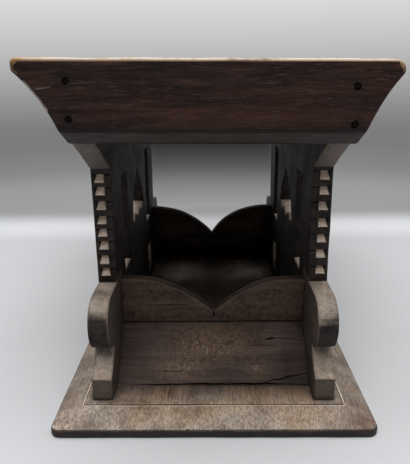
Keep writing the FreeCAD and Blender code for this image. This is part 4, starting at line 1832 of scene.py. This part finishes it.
@dataclass(frozen=True)
class Viewpoint:
    """The camera: its place, its turn and its focal length in pixels of an image of a given width."""

    place: tuple[float, float, float] = (-0.8, -711.0, 337.3)
    yaw: float = -0.73
    pitch: float = 16.69
    roll: float = -0.61
    focal_pixels: float = 520.0
    width_pixels: float = 410.0
    rise_pixels: float = 1.1
    sensor_width: float = 36.0
    nearest: float = 10.0

    def stand(self) -> None:
        """Adds the camera and looks through it."""
        yaw, pitch, roll = math.radians(self.yaw), math.radians(self.pitch), math.radians(self.roll)
        ahead = Vector((math.sin(yaw) * math.cos(pitch), math.cos(yaw) * math.cos(pitch), -math.sin(pitch)))
        level_right = Vector((math.cos(yaw), -math.sin(yaw), 0))
        level_up = level_right.cross(ahead)
        right = level_right * math.cos(roll) + level_up * math.sin(roll)
        up = level_up * math.cos(roll) - level_right * math.sin(roll)
        bpy.ops.object.camera_add()
        camera = bpy.context.object
        turn = Matrix((right, up, -ahead)).transposed().to_4x4()
        camera.matrix_world = Matrix.Translation(Vector(self.place) * MM) @ turn
        camera.data.sensor_fit = "HORIZONTAL"
        camera.data.sensor_width = self.sensor_width
        camera.data.lens = self.sensor_width * self.focal_pixels / self.width_pixels
        camera.data.shift_y = -self.rise_pixels / self.width_pixels
        camera.data.clip_start = self.nearest * MM
        bpy.context.scene.camera = camera


@dataclass(frozen=True)
class Studio:
    """The pale table, the grey surroundings, the softboxes and the camera."""

    table_half_width: float = 2600.0
    table_front: float = -2600.0
    table_back: float = 632.0
    surround: tuple[tuple[float, float], ...] = (
        (-0.3, 0.365), (-0.241, 0.365), (-0.23, 0.345), (-0.21, 0.335), (-0.196, 0.325), (-0.165, 0.24),
        (-0.125, 0.2), (-0.09, 0.205), (-0.05, 0.28), (-0.016, 0.36), (0.054, 0.54), (0.126, 0.7),
        (0.22, 0.12))
    coolness: Colour = (1.0, 1.005, 1.01)
    room_share: float = 0.25
    shade_share: float = 0.88
    softboxes: tuple[Softbox, ...] = (
        Softbox("overhead", (0, -250, 1500), (0, -150, 0), (1700, 1500), 23.0),
        Softbox("high_front", (0, -1300, 1700), (0, -100, 100), (1600, 700), 9.0),
        Softbox("left_window", (-1600, 100, 900), (0, 0, 150), (700, 900), 3.0),
        Softbox("right_window", (1600, 100, 900), (0, 0, 150), (700, 900), 3.0))

    def lay_table(self) -> None:
        """Adds the pale sheet, which ends a little way behind the stool."""
        start = Vector((-self.table_half_width, self.table_front, 0))
        end = Vector((self.table_half_width, self.table_back, 0))
        sheet = Workpiece.drawn("pale_sheet", flat_rectangle(start, end))
        sheet.body.data.materials.clear()
        sheet.body.data.materials.append(PaperFinish().make())

    def surroundings(self) -> None:
        """Paints the grey surroundings by their height, darkest below the horizon, dim behind the camera, and
        with a painted shadow of the stool just below the horizon ahead.
        """
        world = bpy.data.worlds.new("surroundings")
        world.use_nodes = True
        graph = Graph(world.node_tree)
        direction = graph.add("TexCoord").outputs["Generated"]
        aside, ahead, height = (graph.part(direction, axis) for axis in range(3))
        low, high = self.surround[0][0], self.surround[-1][0]
        rise = graph.add("MapRange", {"Value": height, "From Min": low, "From Max": high})
        tones = graph.add("ValToRGB", {0: rise.outputs[0]})
        stops = tones.color_ramp.elements
        while len(stops) < len(self.surround):
            stops.new(0.5)
        for stop, (level, tone) in zip(stops, self.surround):
            stop.position = (level - low) / (high - low)
            stop.color = (*(tone * share for share in self.coolness), 1)
        # A painted shadow of the stool on the surroundings ahead, just below the horizon.
        shade = graph.step(graph.math("ABSOLUTE", aside), (0.2, 0.1), (0.0, self.shade_share))
        for value, within, shares in ((height, (-0.27, -0.1), (0.0, 1.0)), (height, (-0.1, 0.0), (1.0, 0.0)),
                                      (ahead, (0.3, 0.7), (0.0, 1.0))):
            shade = graph.times(shade, graph.step(value, within, shares))
        room = graph.step(ahead, (-0.2, 0.5), (self.room_share, 1.0))
        background = graph.tree.nodes["Background"]
        graph.put(background.inputs["Color"], tones.outputs[0])
        graph.put(background.inputs["Strength"], graph.math("SUBTRACT", room, shade))
        bpy.context.scene.world = world

    def set_up(self) -> None:
        """Builds the whole studio."""
        bpy.context.scene.view_settings.view_transform = "Standard"
        self.lay_table()
        self.surroundings()
        for softbox in self.softboxes:
            softbox.hang()
        Viewpoint().stand()


NOTCH_STRAYS = {Side.LEFT: (-2.0, -0.2, 0.0, -1.0, 0.3, 1.7, 0.6, 1.6),
                Side.RIGHT: (0.6, 1.4, 2.4, 1.6, 1.9, 1.6, 0.8)}


def main() -> None:
    """Builds every sub-assembly in order, then the studio, and keeps the frame's and the stool's size."""
    logging.basicConfig(level=logging.INFO, format="%(name)s: %(message)s")
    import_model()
    levels = Levels.of_frame()
    iron = IronFinish().make()
    base_wood, side_wood, end_wood = BASE_WOOD.make(), SIDE_WOOD.make(), END_WOOD.make()
    seat_wood, seat_top_wood = SEAT_WOOD.make(), SEAT_TOP_WOOD.make()

    pieces = BaseBoard(levels).dress(base_wood)
    for side in Side:
        pieces += SideBoard(levels, side, NOTCH_STRAYS[side]).dress(side_wood)
    for end in End:
        pieces += EndBoard(end).dress(end_wood)
        pieces += LowerBoard(levels, end).dress(end_wood)
        pieces += Apron(levels, end).dress(seat_wood, iron)
    pieces += SeatBoard().dress(seat_top_wood, iron)
    LOG.info("%d pieces in place", len(pieces))

    Studio().set_up()


if __name__ == "__main__":
    main()
